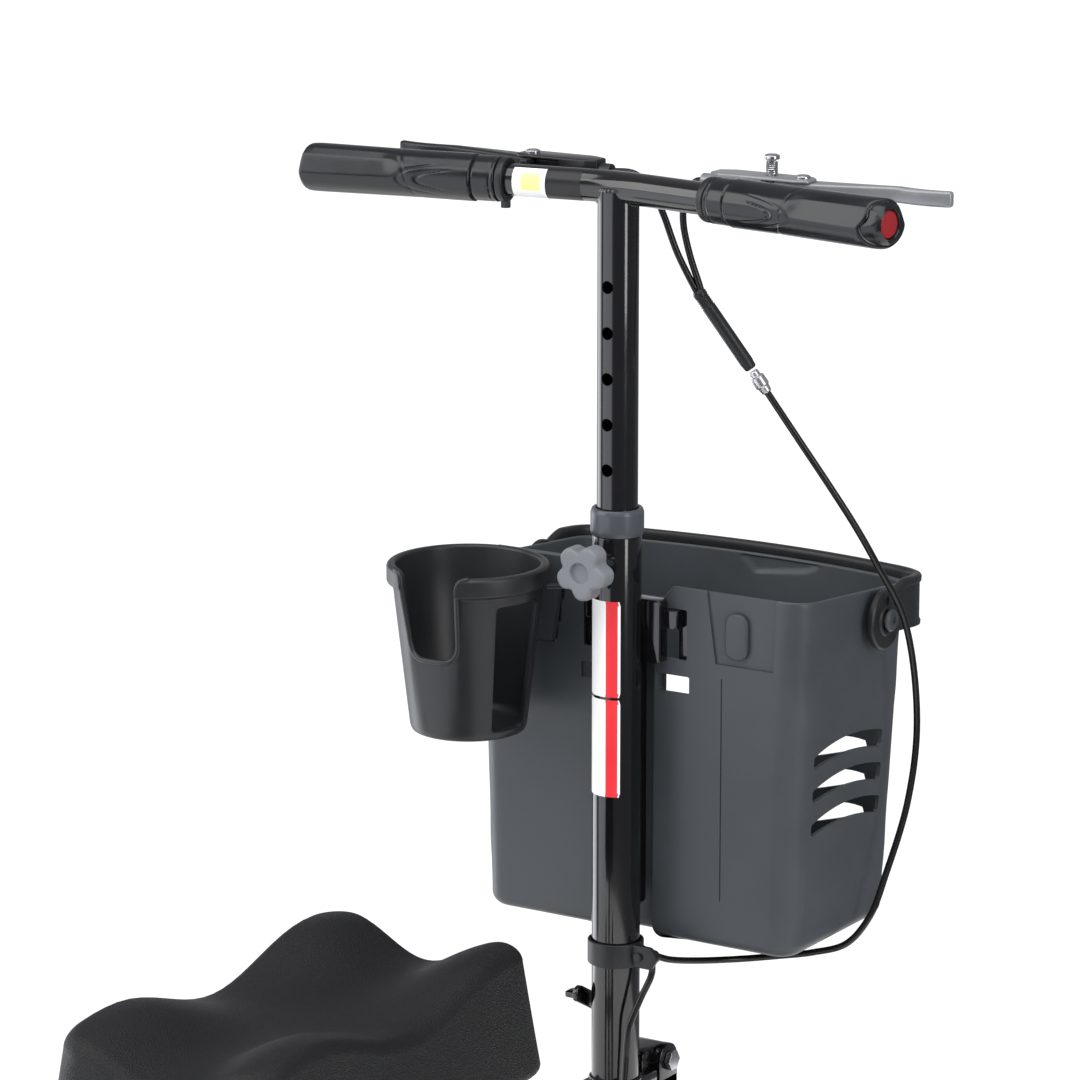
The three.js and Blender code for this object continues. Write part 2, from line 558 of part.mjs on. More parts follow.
function buildCupHolder() {
  const { bottom, top, bottomR, topR, rimR, wall } = CUP;
  const centre = at(CUP.x, CUP.y, 0);
  const shell = turned([
    [0, bottom], [bottomR - 5, bottom], [bottomR, bottom + 5], [topR - 0.5, top - 14], [rimR, top - 13],
    [rimR, top - 1], [rimR - 1, top], [topR - wall + 0.5, top], [bottomR - wall, bottom + wall + 2], [0, bottom + wall + 2],
  ], centre, at(0, 0, 1), 20);
  const notch = new THREE.Shape();
  const notchHalf = 23;
  const notchBottom = top - 62;
  notch.moveTo(-notchHalf, top + 5);
  notch.lineTo(-notchHalf + 3, notchBottom + 14);
  notch.quadraticCurveTo(-notchHalf + 4, notchBottom, -notchHalf + 16, notchBottom);
  notch.lineTo(notchHalf - 16, notchBottom);
  notch.quadraticCurveTo(notchHalf - 4, notchBottom, notchHalf - 3, notchBottom + 14);
  notch.lineTo(notchHalf, top + 5);
  const notchGeometry = new THREE.ExtrudeGeometry(notch, { depth: 60, bevelEnabled: false, curveSegments: 5 });
  notchGeometry.rotateX(Math.PI / 2).translate(CUP.x, CUP.y - 12, 0);

  const windowAngle = THREE.MathUtils.degToRad(-20);
  const windowShape = shapeOf([[-10, bottom + 6.5], [19, bottom + 6.5], [27, top - 21.5], [-13, top - 21.5]]);
  const windowGeometry = new THREE.ExtrudeGeometry(windowShape, { depth: 45, bevelEnabled: false });
  windowGeometry.rotateX(Math.PI / 2).rotateZ(Math.PI / 2).translate(25, 0, 0);
  windowGeometry.rotateZ(windowAngle).translate(CUP.x, CUP.y, 0);
  piece('cup_holder', cut(shell, solid(notchGeometry), solid(windowGeometry)), 'cupPlastic');

  const armZ = [top - 14, top - 2];
  const arm = cut(
    join(
      plateZ(shapeOf([[CUP.x + 46, -42], [-14, -13], [-14, 13], [CUP.x + 46, -10]]), armZ[0], armZ[1]),
      block([-23, -12], [-13, 13], [armZ[0] - 3, armZ[1] + 3]),
    ),
    rod(COLUMN_R + GAP, at(0, 0, 600), at(0, 0, 720), 20),
    turned([[0, 600], [rimR + 0.5, 600], [rimR + 0.5, 720], [0, 720]], centre, at(0, 0, 1), 20),
  );
  piece('cup_holder_arm', arm, 'blackPlastic');
}

// ---------------------------------------------------------------- basket

// The basket's plan: straight near side, round corners, straight sides, and a bowed far side.
function basketPlan(inset) {
  const half = BASKET.topHalf - inset;
  const near = BASKET.near + inset;
  const corner = BASKET.farCorner - inset;
  const r = BASKET.corner - inset;
  const shape = new THREE.Shape();
  shape.absarc(-half + r, near + r, r, Math.PI, 1.5 * Math.PI, false);
  shape.absarc(half - r, near + r, r, 1.5 * Math.PI, 2 * Math.PI, false);
  shape.lineTo(half, corner - 22);
  shape.quadraticCurveTo(half, corner, half - 30, corner + 6);
  shape.quadraticCurveTo(0, 2 * (BASKET.farMiddle - inset) - corner - 6, -half + 30, corner + 6);
  shape.quadraticCurveTo(-half, corner, -half, corner - 22);
  return shape;
}

// The plan drawn up to a height, and narrowed towards the bottom.
function basketBody(inset, z0, z1) {
  const geometry = new THREE.ExtrudeGeometry(basketPlan(inset), {
    depth: z1 - z0, bevelEnabled: false, curveSegments: 4,
  });
  geometry.translate(0, 0, z0);
  const position = geometry.attributes.position;
  for (let i = 0; i < position.count; i += 1) {
    const t = (position.getZ(i) - BASKET.bottom) / (BASKET.top - BASKET.bottom);
    const wide = THREE.MathUtils.lerp(BASKET.bottomHalf / BASKET.topHalf, 1, t);
    const deep = THREE.MathUtils.lerp(BASKET.bottomDepth, 1, t);
    position.setX(i, position.getX(i) * wide);
    position.setY(i, BASKET.near + (position.getY(i) - BASKET.near) * deep);
  }
  return solid(geometry);
}

function buildBasket() {
  const { near, wall, channelHalf, channelDepth } = BASKET;
  const channel = (extra) => block([-channelHalf - extra, channelHalf + extra],
    [near - 5, near + channelDepth + extra], [BASKET.bottom - 5, BASKET.top + 20]);
  const shell = cut(
    cut(basketBody(0, BASKET.bottom, BASKET.top), channel(0)),
    cut(basketBody(wall, BASKET.bottom + wall, BASKET.top + 10), channel(wall)),
  );
  const nearCut = (points) => {
    const geometry = new THREE.ExtrudeGeometry(shapeOf(points), { depth: 20, bevelEnabled: false });
    return solid(geometry.rotateX(Math.PI / 2).translate(0, near + 16, 0));
  };
  const slope = plateX(shapeOf([
    [near, BASKET.top], [near + 200, BASKET.top - 200 * BASKET.rimSlope], [near + 200, BASKET.top + 20],
    [near, BASKET.top + 20],
  ]), -160, 160);
  const tools = [slope, nearCut([[-31.4, 662], [-19.4, 648.2], [19.4, 648.2], [31.4, 662]])];
  for (const side of [-1, 1]) {
    const opening = (x0, x1, z0, z1) => nearCut([[side * x0, z0], [side * x1, z0], [side * x1, z1], [side * x0, z1]]);
    tools.push(opening(HANG.inner, HANG.outer, HANG.windowBottom, HANG.windowTop));
    tools.push(opening(HANG.inner, 44, 585, 597.5));
    for (let i = 0; i < 3; i += 1) {
      const z = 490 + VENT_STEP * i;
      const sideVent = new THREE.Shape();
      sideVent.moveTo(46, z);
      sideVent.quadraticCurveTo(94, z + 7, 142, z - 5);
      sideVent.lineTo(144, z + 7);
      sideVent.quadraticCurveTo(94, z + 21, 46, z + 9);
      tools.push(plateX(sideVent, side * 128 - 14, side * 128 + 14, 4));
      const farVent = new THREE.Shape();
      farVent.moveTo(side * 50, z - 35);
      farVent.quadraticCurveTo(side * 78, z - 27, side * 103, z - 18);
      farVent.lineTo(side * 101, z - 13);
      farVent.quadraticCurveTo(side * 76, z - 11, side * 48, z - 24);
      const depth = 60;
      const geometry = new THREE.ExtrudeGeometry(farVent, { depth, bevelEnabled: false, curveSegments: 4 });
      tools.push(solid(geometry.rotateX(Math.PI / 2).translate(0, near + 190, 0)));
    }
  }
  for (const side of [-1, 1]) {
    const slot = shapeOf([[side * 50, 531], [side * 93, 531], [side * 93, 549], [side * 50, 549]]);
    const geometry = new THREE.ExtrudeGeometry(slot, { depth: 60, bevelEnabled: false });
    tools.push(solid(geometry.rotateX(Math.PI / 2).translate(0, near + 190, 0)));
  }
  const pins = [-1, 1].map((side) => rod(5, at(side * 131, BAIL.pivotY, BAIL.pivotZ),
    at(side * 150, BAIL.pivotY, BAIL.pivotZ), 16));
  const caps = [-1, 1].map((side) => rod(8, at(side * 146.6, BAIL.pivotY, BAIL.pivotZ),
    at(side * 150, BAIL.pivotY, BAIL.pivotZ)));
  piece('basket', join(cut(shell, ...tools), ...pins, ...caps), 'basketPlastic');

  const bailPlan = (offset) => {
    const half = BAIL.inner + offset;
    const corner = BASKET.farCorner + 5 + offset;
    const middle = BAIL_FRONT_Y - BAIL.thick + offset;
    const shape = new THREE.Shape();
    shape.moveTo(-half, BAIL.pivotY - 20);
    shape.lineTo(half, BAIL.pivotY - 20);
    shape.lineTo(half, corner - 22);
    shape.quadraticCurveTo(half, corner + 1, half - 32, corner + 7);
    shape.quadraticCurveTo(0, 2 * middle - corner - 7, -half + 32, corner + 7);
    shape.quadraticCurveTo(-half, corner + 1, -half, corner - 22);
    return shape;
  };
  const drop = (BAIL_FRONT_Y - BAIL.pivotY) * BASKET.rimSlope;
  const above = plateX(shapeOf([
    [BAIL.pivotY, BAIL.top], [BAIL_FRONT_Y, BAIL.top - drop], [BAIL_FRONT_Y, BAIL.top + 20], [BAIL.pivotY, BAIL.top + 20],
  ]), -160, 160);
  const below = plateX(shapeOf([
    [BAIL.pivotY, BAIL.bottom - drop - 20], [BAIL_FRONT_Y, BAIL.bottom - drop - 20],
    [BAIL_FRONT_Y, BAIL.bottom - drop], [BAIL.pivotY, BAIL.bottom],
  ]), -160, 160);
  const band = cut(
    plateZ(bailPlan(BAIL.thick), BAIL.bottom - drop, BAIL.top, 6),
    plateZ(bailPlan(0), BAIL.bottom - drop - 1, BAIL.top + 1, 6),
    block([-160, 160], [BAIL.pivotY - 21, BAIL.pivotY], [600, 670]),
    above,
    below,
  );
  const ends = [-1, 1].map((side) => {
    const x = side * (BAIL.inner + BAIL.thick / 2);
    return rod(BAIL.eyeR, at(x - BAIL.thick / 2, BAIL.pivotY, BAIL.pivotZ),
      at(x + BAIL.thick / 2, BAIL.pivotY, BAIL.pivotZ), 20);
  });
  const pinHoles = [-1, 1].map((side) => rod(5.4, at(side * 134, BAIL.pivotY, BAIL.pivotZ),
    at(side * 160, BAIL.pivotY, BAIL.pivotZ), 16));
  piece('basket_bail', cut(join(band, ...ends), ...pinHoles), 'blackPlastic');
}

// ---------------------------------------------------------------- handlebar

const barDirection = (side) => at(side * Math.cos(BAR_SWEEP), -Math.sin(BAR_SWEEP), 0);
const barPoint = (side, along) => at(0, 0, BAR_Z).addScaledVector(barDirection(side), along);

function buildHandlebar() {
  const holes = [];
  for (let i = 0; i < HOLE_COUNT; i += 1) {
    const z = TOP_HOLE_Z - HOLE_PITCH * i;
    holes.push(rod(HOLE_R, at(0, -20, z), at(0, 20, z), 8));
  }
  piece('handlebar', cut(
    join(
      rod(STEM_R, at(0, 0, STEM_BOTTOM), at(0, 0, BAR_Z), 20),
      rod(BAR_R, barPoint(-1, 226), barPoint(-1, -1.7)),
      rod(BAR_R, barPoint(1, -1.7), barPoint(1, 226)),
    ),
    rod(STEM_R - STEM_WALL, at(0, 0, STEM_BOTTOM - 5), at(0, 0, BAR_Z - 4), 12),
    rod(BAR_R - BAR_WALL, barPoint(-1, 227), at(0, 0, BAR_Z), 8),
    rod(BAR_R - BAR_WALL, at(0, 0, BAR_Z), barPoint(1, 227), 8),
    ...holes,
  ), 'blackPaint');

  for (const [name, side] of [['left', -1], ['right', 1]]) {
    const start = BAR_HALF - GRIP_LENGTH;
    const bore = BAR_R + GAP;
    piece(`grip_${name}`, turned([
      [bore, start], [16.2, start], [16.2, start + 17], [15.2, start + 18], [14.8, start + 60], [15.6, start + 100],
      [17, BAR_HALF - 6], [16, BAR_HALF], [10, BAR_HALF], [10, BAR_HALF - 3], [0, BAR_HALF - 3], [0, 227.5],
      [bore, 227.5],
    ], at(0, 0, BAR_Z), barDirection(side), 16), 'grip');
    piece(`grip_reflector_${name}`, turned([
      [0, BAR_HALF - 3 + GAP], [9.6, BAR_HALF - 3 + GAP], [9.6, BAR_HALF - 0.6], [0, BAR_HALF - 0.2],
    ], at(0, 0, BAR_Z), barDirection(side), 20), 'reflector');
  }
}

// ---------------------------------------------------------------- brake levers

const MOUNTS = {
  left: { side: -1, clamp: [71, 84], inboard: 30, pivot: [86, 27], outboard: 96, tip: [203, 40] },
  right: { side: 1, clamp: [62, 79], inboard: 60, pivot: [128, 27], outboard: 136, tip: [231, 46] },
};
const MOUNT_Z = [938, 953];
const LEVER_Z = [940.7, 950.3];
const LOCK = { x: 104, y: 27, r: 2.6 };

function buildBrakeLevers() {
  for (const [name, m] of Object.entries(MOUNTS)) {
    const { side } = m;
    const [px, py] = [side * m.pivot[0], m.pivot[1]];
    const mirrored = (points) => shapeOf(points.map(([x, y]) => [side * x, y]));
    const clampRing = cut(
      rod(15.5, barPoint(side, m.clamp[0]), barPoint(side, m.clamp[1]), 16),
      rod(BAR_R + GAP, barPoint(side, m.clamp[0] - 8), barPoint(side, m.clamp[1] + 8), 16),
    );
    const clampLow = barPoint(side, (m.clamp[0] + m.clamp[1]) / 2);
    const bolt = rod(4.5, clampLow.clone().add(at(0, 0, -19.5)), clampLow.clone().add(at(0, 0, -13)), 6);
    const body = plateZ(mirrored([
      [m.inboard, 20], [m.inboard, 33], [m.inboard + 12, 38], [m.outboard - 6, 38], [m.outboard, 32],
      [m.outboard, 20], [m.outboard - 8, 17], [m.inboard + 8, 17],
    ]), MOUNT_Z[0], MOUNT_Z[1]);
    const neck = block([side * m.clamp[0], side * m.clamp[1]].sort((a, b) => a - b), [1, 22], [940, 951])
      .subtract(rod(BAR_R + 2, barPoint(side, m.clamp[0] - 20), barPoint(side, m.clamp[1] + 20), 16));
    const slot = plateZ(mirrored([
      [m.pivot[0] - 34, 14], [m.pivot[0] - 34, 42], [m.outboard + 2, 42], [m.outboard + 2, 14],
    ]), LEVER_Z[0] - 0.4, LEVER_Z[1] + 0.4);
    const outlet = rod(5, at(side * (m.inboard - 9), 26, 945.5), at(side * (m.inboard + 4), 26, 945.5), 12);
    const cableBore = rod(CABLE_R + 0.4, at(side * (m.inboard - 12), 26, 945.5), at(side * (m.inboard - 3), 26, 945.5), 12);
    const pin = rod(3, at(px, py, MOUNT_Z[0] + 1), at(px, py, MOUNT_Z[1] - 1), 12);
    const head = rod(5, at(px, py, MOUNT_Z[1] - 1), at(px, py, MOUNT_Z[1] + 2.5), 16);
    const tools = [slot, cableBore];
    if (name === 'right') tools.push(rod(LOCK.r + 0.4, at(LOCK.x, LOCK.y, 930), at(LOCK.x, LOCK.y, 960), 12));
    piece(`brake_lever_mount_${name}`, join(cut(join(clampRing, bolt, neck, body, outlet), ...tools), pin, head), 'leverMetal');

    const [tx, ty] = m.tip;
    const [bx, by] = m.pivot;
    const reach = tx - bx;
    const blade = new THREE.Shape();
    const wing = (f, y) => [side * (bx + f * reach), y];
    blade.moveTo(side * (bx - 24), by - 4);
    blade.lineTo(side * (bx - 24), by + 4);
    blade.lineTo(side * (bx - 4), by + 9);
    blade.quadraticCurveTo(...wing(0.3, by + 14), ...wing(0.62, ty + 2));
    blade.quadraticCurveTo(...wing(0.85, ty - 4), ...wing(1, ty + 2));
    blade.lineTo(...wing(1.01, ty - 4));
    blade.quadraticCurveTo(...wing(0.85, ty - 10), ...wing(0.62, ty - 5));
    blade.quadraticCurveTo(...wing(0.3, by + 2), side * (bx + 6), by - 6);
    piece(`brake_lever_${name}`, cut(
      plateZ(blade, LEVER_Z[0], LEVER_Z[1], 5),
      rod(3.35, at(px, py, 930), at(px, py, 960), 12),
      rod(LOCK.r + 3.4, at(LOCK.x, LOCK.y, 930), at(LOCK.x, LOCK.y, 960), 12),
    ), 'leverMetal');
  }

  piece('brake_lock_plunger', join(
    rod(LOCK.r, at(LOCK.x, LOCK.y, 946), at(LOCK.x, LOCK.y, 966), 12),
    rod(5.2, at(LOCK.x, LOCK.y, 964), at(LOCK.x, LOCK.y, 967.5), 20),
  ), 'steel');
}

// ---------------------------------------------------------------- brake cable

const SPLITTER = { top: at(39, 40, 866.5), bottom: at(73, 55.5, 813) };
const along = (from, to, t) => from.clone().lerp(to, t);
const CLIP_EYE = at(31, -1, 399.5);

const CABLE_MAIN = [
  along(SPLITTER.top, SPLITTER.bottom, 1.25), at(106, 66, 764), at(126, 76, 729), at(142, 88, 695),
  at(153, 98, 680), at(158, 125, 632), at(161, 140, 557), at(157, 136, 499), at(149, 121, 449),
  at(142, 110, 418), at(128, 102, 398), at(106, 94, 390), at(85, 82, 387), at(62, 62, 386), at(44, 32, 390), at(36, 12, 395),
  CLIP_EYE.clone().add(at(1, 3, 0)),
];
const CABLE_COLUMN = [at(30, 0, 396), at(29.5, 0, 386), at(26, -9, 370), at(22, -18, 350), at(21, -20, 330)];
const CABLE_HINGE = [at(21, -20, 329.5), at(22, -24, 308), at(22.5, -27, 285.5)];
const CABLE_STEER = [at(22.5, -27, 285), at(24, -34, 262), at(24, -52, 243), at(23, -75, 230)];
const CABLE_FRAME = [at(23, -75.5, 229.5), at(22.5, -200, 204), at(24, -340, 190), at(25, -450, 168),
  at(50, -520, 158), at(90, -545, 163), at(105.5, -555, 168.5)];

function buildCables() {
  const splitter = cut(
    rod(4.8, SPLITTER.top, SPLITTER.bottom, 16),
    rod(CABLE_R + 0.5, along(SPLITTER.top, SPLITTER.bottom, 0.85), along(SPLITTER.top, SPLITTER.bottom, 1.1), 12),
  );
  piece('cable_splitter', splitter, 'cable');
  piece('cable_adjuster', cut(
    rod(5.3, along(SPLITTER.top, SPLITTER.bottom, 1.008), along(SPLITTER.top, SPLITTER.bottom, 1.2), 12),
    rod(CABLE_R + 0.4, along(SPLITTER.top, SPLITTER.bottom, 1.1), along(SPLITTER.top, SPLITTER.bottom, 1.3), 12),
  ), 'steel');

  const top = along(SPLITTER.top, SPLITTER.bottom, -0.02);
  const strand = (points, steps) => bentRod(CABLE_R, points, steps, 6);
  piece('brake_cable_left', strand([
    at(-21.5, 26, 945.5), at(-4, 27, 945), at(11, 26, 935), at(20, 26, 919), at(28, 31, 893), top.clone().add(at(-2.6, 0.5, 1.5)),
  ], 16), 'cable');
  piece('brake_cable_right', strand([
    at(51.5, 26, 945.5), at(43, 29, 943), at(34, 31, 931), at(32, 32, 915), at(34.5, 36, 893), top.clone().add(at(2.6, 1.5, 2.2)),
  ], 16), 'cable');
  piece('brake_cable_main', strand(CABLE_MAIN, 36), 'cable');
  piece('brake_cable_column', strand(CABLE_COLUMN, 8), 'cable');
  piece('brake_cable_hinge', strand(CABLE_HINGE, 6), 'cable');
  piece('brake_cable_steering', strand(CABLE_STEER, 8), 'cable');
  piece('brake_cable_frame', strand(CABLE_FRAME, 16), 'cable');
}

buildFrame();
buildBrake();
buildSteering();
buildWheels();
buildKneeRest();
buildColumn();
buildBasketBracket();
buildCupHolder();
buildBasket();
buildHandlebar();
buildBrakeLevers();
buildCables();

export default scooter;
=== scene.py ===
import json
import math

import bmesh
import bpy
import numpy as np
from mathutils import Matrix, Vector


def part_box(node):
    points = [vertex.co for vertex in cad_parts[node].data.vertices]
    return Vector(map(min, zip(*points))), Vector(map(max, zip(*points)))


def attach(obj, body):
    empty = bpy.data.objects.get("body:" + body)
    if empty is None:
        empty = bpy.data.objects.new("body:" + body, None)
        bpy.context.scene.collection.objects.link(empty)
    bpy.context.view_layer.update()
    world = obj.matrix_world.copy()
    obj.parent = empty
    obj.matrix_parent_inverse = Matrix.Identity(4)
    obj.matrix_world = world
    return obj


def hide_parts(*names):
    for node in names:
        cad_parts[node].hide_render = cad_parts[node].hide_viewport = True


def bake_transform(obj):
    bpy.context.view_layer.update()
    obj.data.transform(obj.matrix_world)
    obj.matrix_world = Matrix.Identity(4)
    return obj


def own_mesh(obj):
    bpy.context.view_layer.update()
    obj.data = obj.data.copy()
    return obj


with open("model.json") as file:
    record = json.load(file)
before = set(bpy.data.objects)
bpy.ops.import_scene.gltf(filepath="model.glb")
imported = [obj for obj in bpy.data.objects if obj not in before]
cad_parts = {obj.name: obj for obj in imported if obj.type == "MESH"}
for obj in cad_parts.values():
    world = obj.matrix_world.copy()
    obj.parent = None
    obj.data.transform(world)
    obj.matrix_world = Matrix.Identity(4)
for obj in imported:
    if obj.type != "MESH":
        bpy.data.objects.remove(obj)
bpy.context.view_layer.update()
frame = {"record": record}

MM = 0.001
UP = np.array([0, 0, 1.0])


def span(node):
    """Lowest and highest corner of a CAD node, in millimetres."""
    low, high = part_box(node)
    return np.array(low) / MM, np.array(high) / MM


def middle(node):
    low, high = span(node)
    return (low + high) / 2


def z_range(node):
    low, high = span(node)
    return low[2], high[2]


COLUMN_Y = middle("column_collar")[1]


def at(x, y, z):
    """A point given from the column's axis and the floor, in millimetres."""
    return np.array([x, y + COLUMN_Y, z], float)


FOLD_AXIS = next(j for j in frame["record"]["behaviour"]["joints"] if j["name"] == "fold")["pos_m"]
FOLD_Y, FOLD_Z = FOLD_AXIS[1] / MM - COLUMN_Y, FOLD_AXIS[2] / MM


# ---------------------------------------------------------------- mesh helpers


SHARP = 38  # an edge that turns by more degrees than this is drawn sharp


def shade(mesh, sharp=SHARP):
    mesh.shade_smooth()
    mesh.set_sharp_from_angle(angle=math.radians(sharp))


def add_object(name, data):
    obj = bpy.data.objects.new(name, data)
    bpy.context.scene.collection.objects.link(obj)
    return obj


def from_faces(name, points, faces, sharp=SHARP):
    mesh = bpy.data.meshes.new(name)
    mesh.from_pydata([tuple(p * MM) for p in points], [], faces)
    body = bmesh.new()
    body.from_mesh(mesh)
    bmesh.ops.remove_doubles(body, verts=body.verts, dist=1e-6)
    bmesh.ops.recalc_face_normals(body, faces=body.faces)
    body.to_mesh(mesh)
    body.free()
    mesh.validate()
    shade(mesh, sharp)
    return add_object(name, mesh)


def stack(name, rings, sharp=SHARP, loop=False):
    """A closed skin through rings of equally many points, capped at both ends unless it loops."""
    count = len(rings[0])
    points = [p for ring in rings for p in ring]
    faces = []
    last = len(rings) if loop else len(rings) - 1
    for i in range(last):
        a, b = i * count, (i + 1) % len(rings) * count
        for k in range(count):
            n = (k + 1) % count
            faces.append((a + k, a + n, b + n, b + k))
    if not loop:
        faces.append(tuple(range(count))[::-1])
        faces.append(tuple(range((len(rings) - 1) * count, len(rings) * count)))
    return from_faces(name, points, faces, sharp)


def basis(axis):
    axis = np.array(axis, float)
    axis /= np.linalg.norm(axis)
    helper = np.array([0, 0, 1.0]) if abs(axis[2]) < 0.9 else np.array([0, 1.0, 0])
    u = np.cross(helper, axis)
    u /= np.linalg.norm(u)
    return axis, u, np.cross(axis, u)


def round_angles(count):
    return [2 * math.pi * k / count for k in range(count)]


def mirrored_profile(profile):
    """The (radius, height) points and their mirror images, in one run."""
    return profile + [(r, -h) for r, h in reversed(profile)]


def lathe(name, profile, origin, axis, segments=72, loop=False):
    """Turned solid: (radius, height) points from axis to axis, or a closed ring when it loops."""
    axis, u, v = basis(axis)
    spokes = [u * math.cos(a) + v * math.sin(a) for a in round_angles(segments)]
    rings = [[origin + axis * h + spoke * max(r, 1e-4) for spoke in spokes] for r, h in profile]
    return stack(name, rings, loop=loop)


def soften(profile, radius, steps=4):
    """Rounds the inner corners of an open profile of (radius, height) points."""
    profile = [p for p, before in zip(profile, [None] + profile) if p != before]
    result = [profile[0]]
    for before, corner, after in zip(profile, profile[1:], profile[2:]):
        b, c, a = (np.array(p, float) for p in (before, corner, after))
        cut = min(radius, np.linalg.norm(b - c) * 0.45, np.linalg.norm(a - c) * 0.45)
        start = c + (b - c) / np.linalg.norm(b - c) * cut
        end = c + (a - c) / np.linalg.norm(a - c) * cut
        for k in range(steps + 1):
            t = k / steps
            result.append(tuple((1 - t) ** 2 * start + 2 * t * (1 - t) * c + t * t * end))
    result.append(profile[-1])
    return result


def turned_ring(name, profile, origin, axis, segments=96, soft=0.8, steps=4):
    """A turned ring from its closed (radius, height) profile. Its first corner is left sharp."""
    return lathe(name, soften(profile + profile[:1], soft, steps)[:-1], origin, axis, segments, loop=True)


def centripetal(points, steps):
    """Centripetal Catmull-Rom curve through the points."""
    p = [np.array(q, float) for q in points]
    p = [2 * p[0] - p[1]] + p + [2 * p[-1] - p[-2]]
    spans = len(points) - 1
    result = []
    for k in range(steps + 1):
        place = k / steps * spans
        i = min(int(place), spans - 1)
        t = place - i
        x0, x1, x2, x3 = p[i:i + 4]
        d0, d1, d2 = (max(np.linalg.norm(b - a) ** 0.5, 1e-3) for a, b in ((x0, x1), (x1, x2), (x2, x3)))
        t1 = ((x1 - x0) / d0 - (x2 - x0) / (d0 + d1) + (x2 - x1) / d1) * d1
        t2 = ((x2 - x1) / d1 - (x3 - x1) / (d1 + d2) + (x3 - x2) / d2) * d1
        c2 = -3 * x1 + 3 * x2 - 2 * t1 - t2
        c3 = 2 * x1 - 2 * x2 + t1 + t2
        result.append(x1 + t1 * t + c2 * t * t + c3 * t ** 3)
    return result


def sweep(name, path, radius, segments=20, bore=0.0):
    """Round tube along a path; with a bore it is open at both ends."""
    path = [np.array(p, float) for p in path]
    tangents = [path[min(i + 1, len(path) - 1)] - path[max(i - 1, 0)] for i in range(len(path))]
    _, u, _ = basis(tangents[0])
    frames = []
    for tangent in tangents:
        tangent = tangent / np.linalg.norm(tangent)
        u = u - tangent * np.dot(u, tangent)
        u /= np.linalg.norm(u)
        frames.append((u, np.cross(tangent, u)))

    def ring(i, r):
        a, b = frames[i]
        return [path[i] + (a * math.cos(t) + b * math.sin(t)) * r for t in round_angles(segments)]

    rings = [ring(i, radius) for i in range(len(path))]
    if bore:
        rings += [ring(i, bore) for i in reversed(range(len(path)))]
    return stack(name, rings, loop=bool(bore))


def bezier2(a, b, c, steps):
    a, b, c = (np.array(p, float) for p in (a, b, c))
    return [(1 - t) ** 2 * a + 2 * t * (1 - t) * b + t * t * c for t in np.linspace(0, 1, steps + 1)]


def round_corners(corners, arc=6):
    """A closed outline from (x, y, radius) corners."""
    result = []
    count = len(corners)
    for i, (x, y, radius) in enumerate(corners):
        c = np.array([x, y], float)
        b = np.array(corners[i - 1][:2], float)
        a = np.array(corners[(i + 1) % count][:2], float)
        to_b = (b - c) / np.linalg.norm(b - c)
        to_a = (a - c) / np.linalg.norm(a - c)
        half = math.acos(max(-1, min(1, float(np.dot(to_a, to_b))))) / 2
        cut = min(radius / math.tan(half), np.linalg.norm(b - c) * 0.49, np.linalg.norm(a - c) * 0.49)
        if cut < 1e-3:
            result.append(c)
            continue
        result += bezier2(c + to_b * cut, c, c + to_a * cut, arc)
    return result


def bake(obj):
    """Applies an object's modifiers to its mesh."""
    graph = bpy.context.evaluated_depsgraph_get()
    mesh = bpy.data.meshes.new_from_object(obj.evaluated_get(graph))
    obj.modifiers.clear()
    obj.data = mesh
    shade(mesh)
    return obj


def bevel_edges(obj, width, segments, angle=40):
    bevel = obj.modifiers.new("edges", "BEVEL")
    bevel.width = width * MM
    bevel.segments = segments
    bevel.limit_method = "ANGLE"
    bevel.angle_limit = math.radians(angle)


def rounded(obj, width, segments=3, angle=40):
    bevel_edges(obj, width, segments, angle)
    return bake(obj)


def plate(name, outline, low, high, axis="z", bevel=0.8, segments=3):
    """An outline extruded along an axis. For x it holds (y, z), for y (x, z) and for z (x, y) points."""
    def place(p, h):
        a, b = p
        return {"x": at(h, a, b), "y": at(a, h, b), "z": at(a, b, h)}[axis]

    obj = stack(name, [[place(p, h) for p in outline] for h in (low, high)])
    return rounded(obj, bevel, segments) if bevel else obj


def box(name, xs, ys, zs, bevel=0.8):
    outline = [(xs[0], ys[0]), (xs[1], ys[0]), (xs[1], ys[1]), (xs[0], ys[1])]
    return plate(name, outline, *zs, "z", bevel)


def rod(name, radius, start, end, segments=48, bevel=0.6):
    start, end = np.array(start, float), np.array(end, float)
    length = np.linalg.norm(end - start)
    profile = soften([(0, 0), (radius, 0), (radius, length), (0, length)], bevel)
    return lathe(name, profile, start, end - start, segments)


def drill(radius, start, end, segments=32):
    """A tool for carve: a rod with sharp ends."""
    return rod("drill", radius, start, end, segments, 0.01)


def ring_tube(name, outer, inner, start, end, segments=72, soft=0.8):
    """A straight tube from one point to another."""
    length = np.linalg.norm(end - start)
    profile = [(inner, 0), (outer, 0), (outer, length), (inner, length)]
    return turned_ring(name, profile, start, end - start, segments, soft)


def merge(name, *objs):
    """Several objects as one piece; material slots are set afterwards."""
    body = bmesh.new()
    for obj in objs:
        body.from_mesh(obj.data)
        bpy.data.objects.remove(obj)
    mesh = bpy.data.meshes.new(name)
    body.to_mesh(mesh)
    body.free()
    return add_object(name, mesh)


def carve(obj, *tools):
    """Cuts several tools out of an object at once."""
    tool = merge("tool", *tools)
    cut = obj.modifiers.new("cut", "BOOLEAN")
    cut.operation = "DIFFERENCE"
    cut.solver = "EXACT"
    cut.object = tool
    bake(obj)
    bpy.data.objects.remove(tool)
    return obj


# ---------------------------------------------------------------- materials


def set_inputs(node, **values):
    """Sets values on a node's own sockets. An underscore stands for a space in a socket's name."""
    for name, value in values.items():
        node.inputs[name.replace("_", " ")].default_value = value
    return node


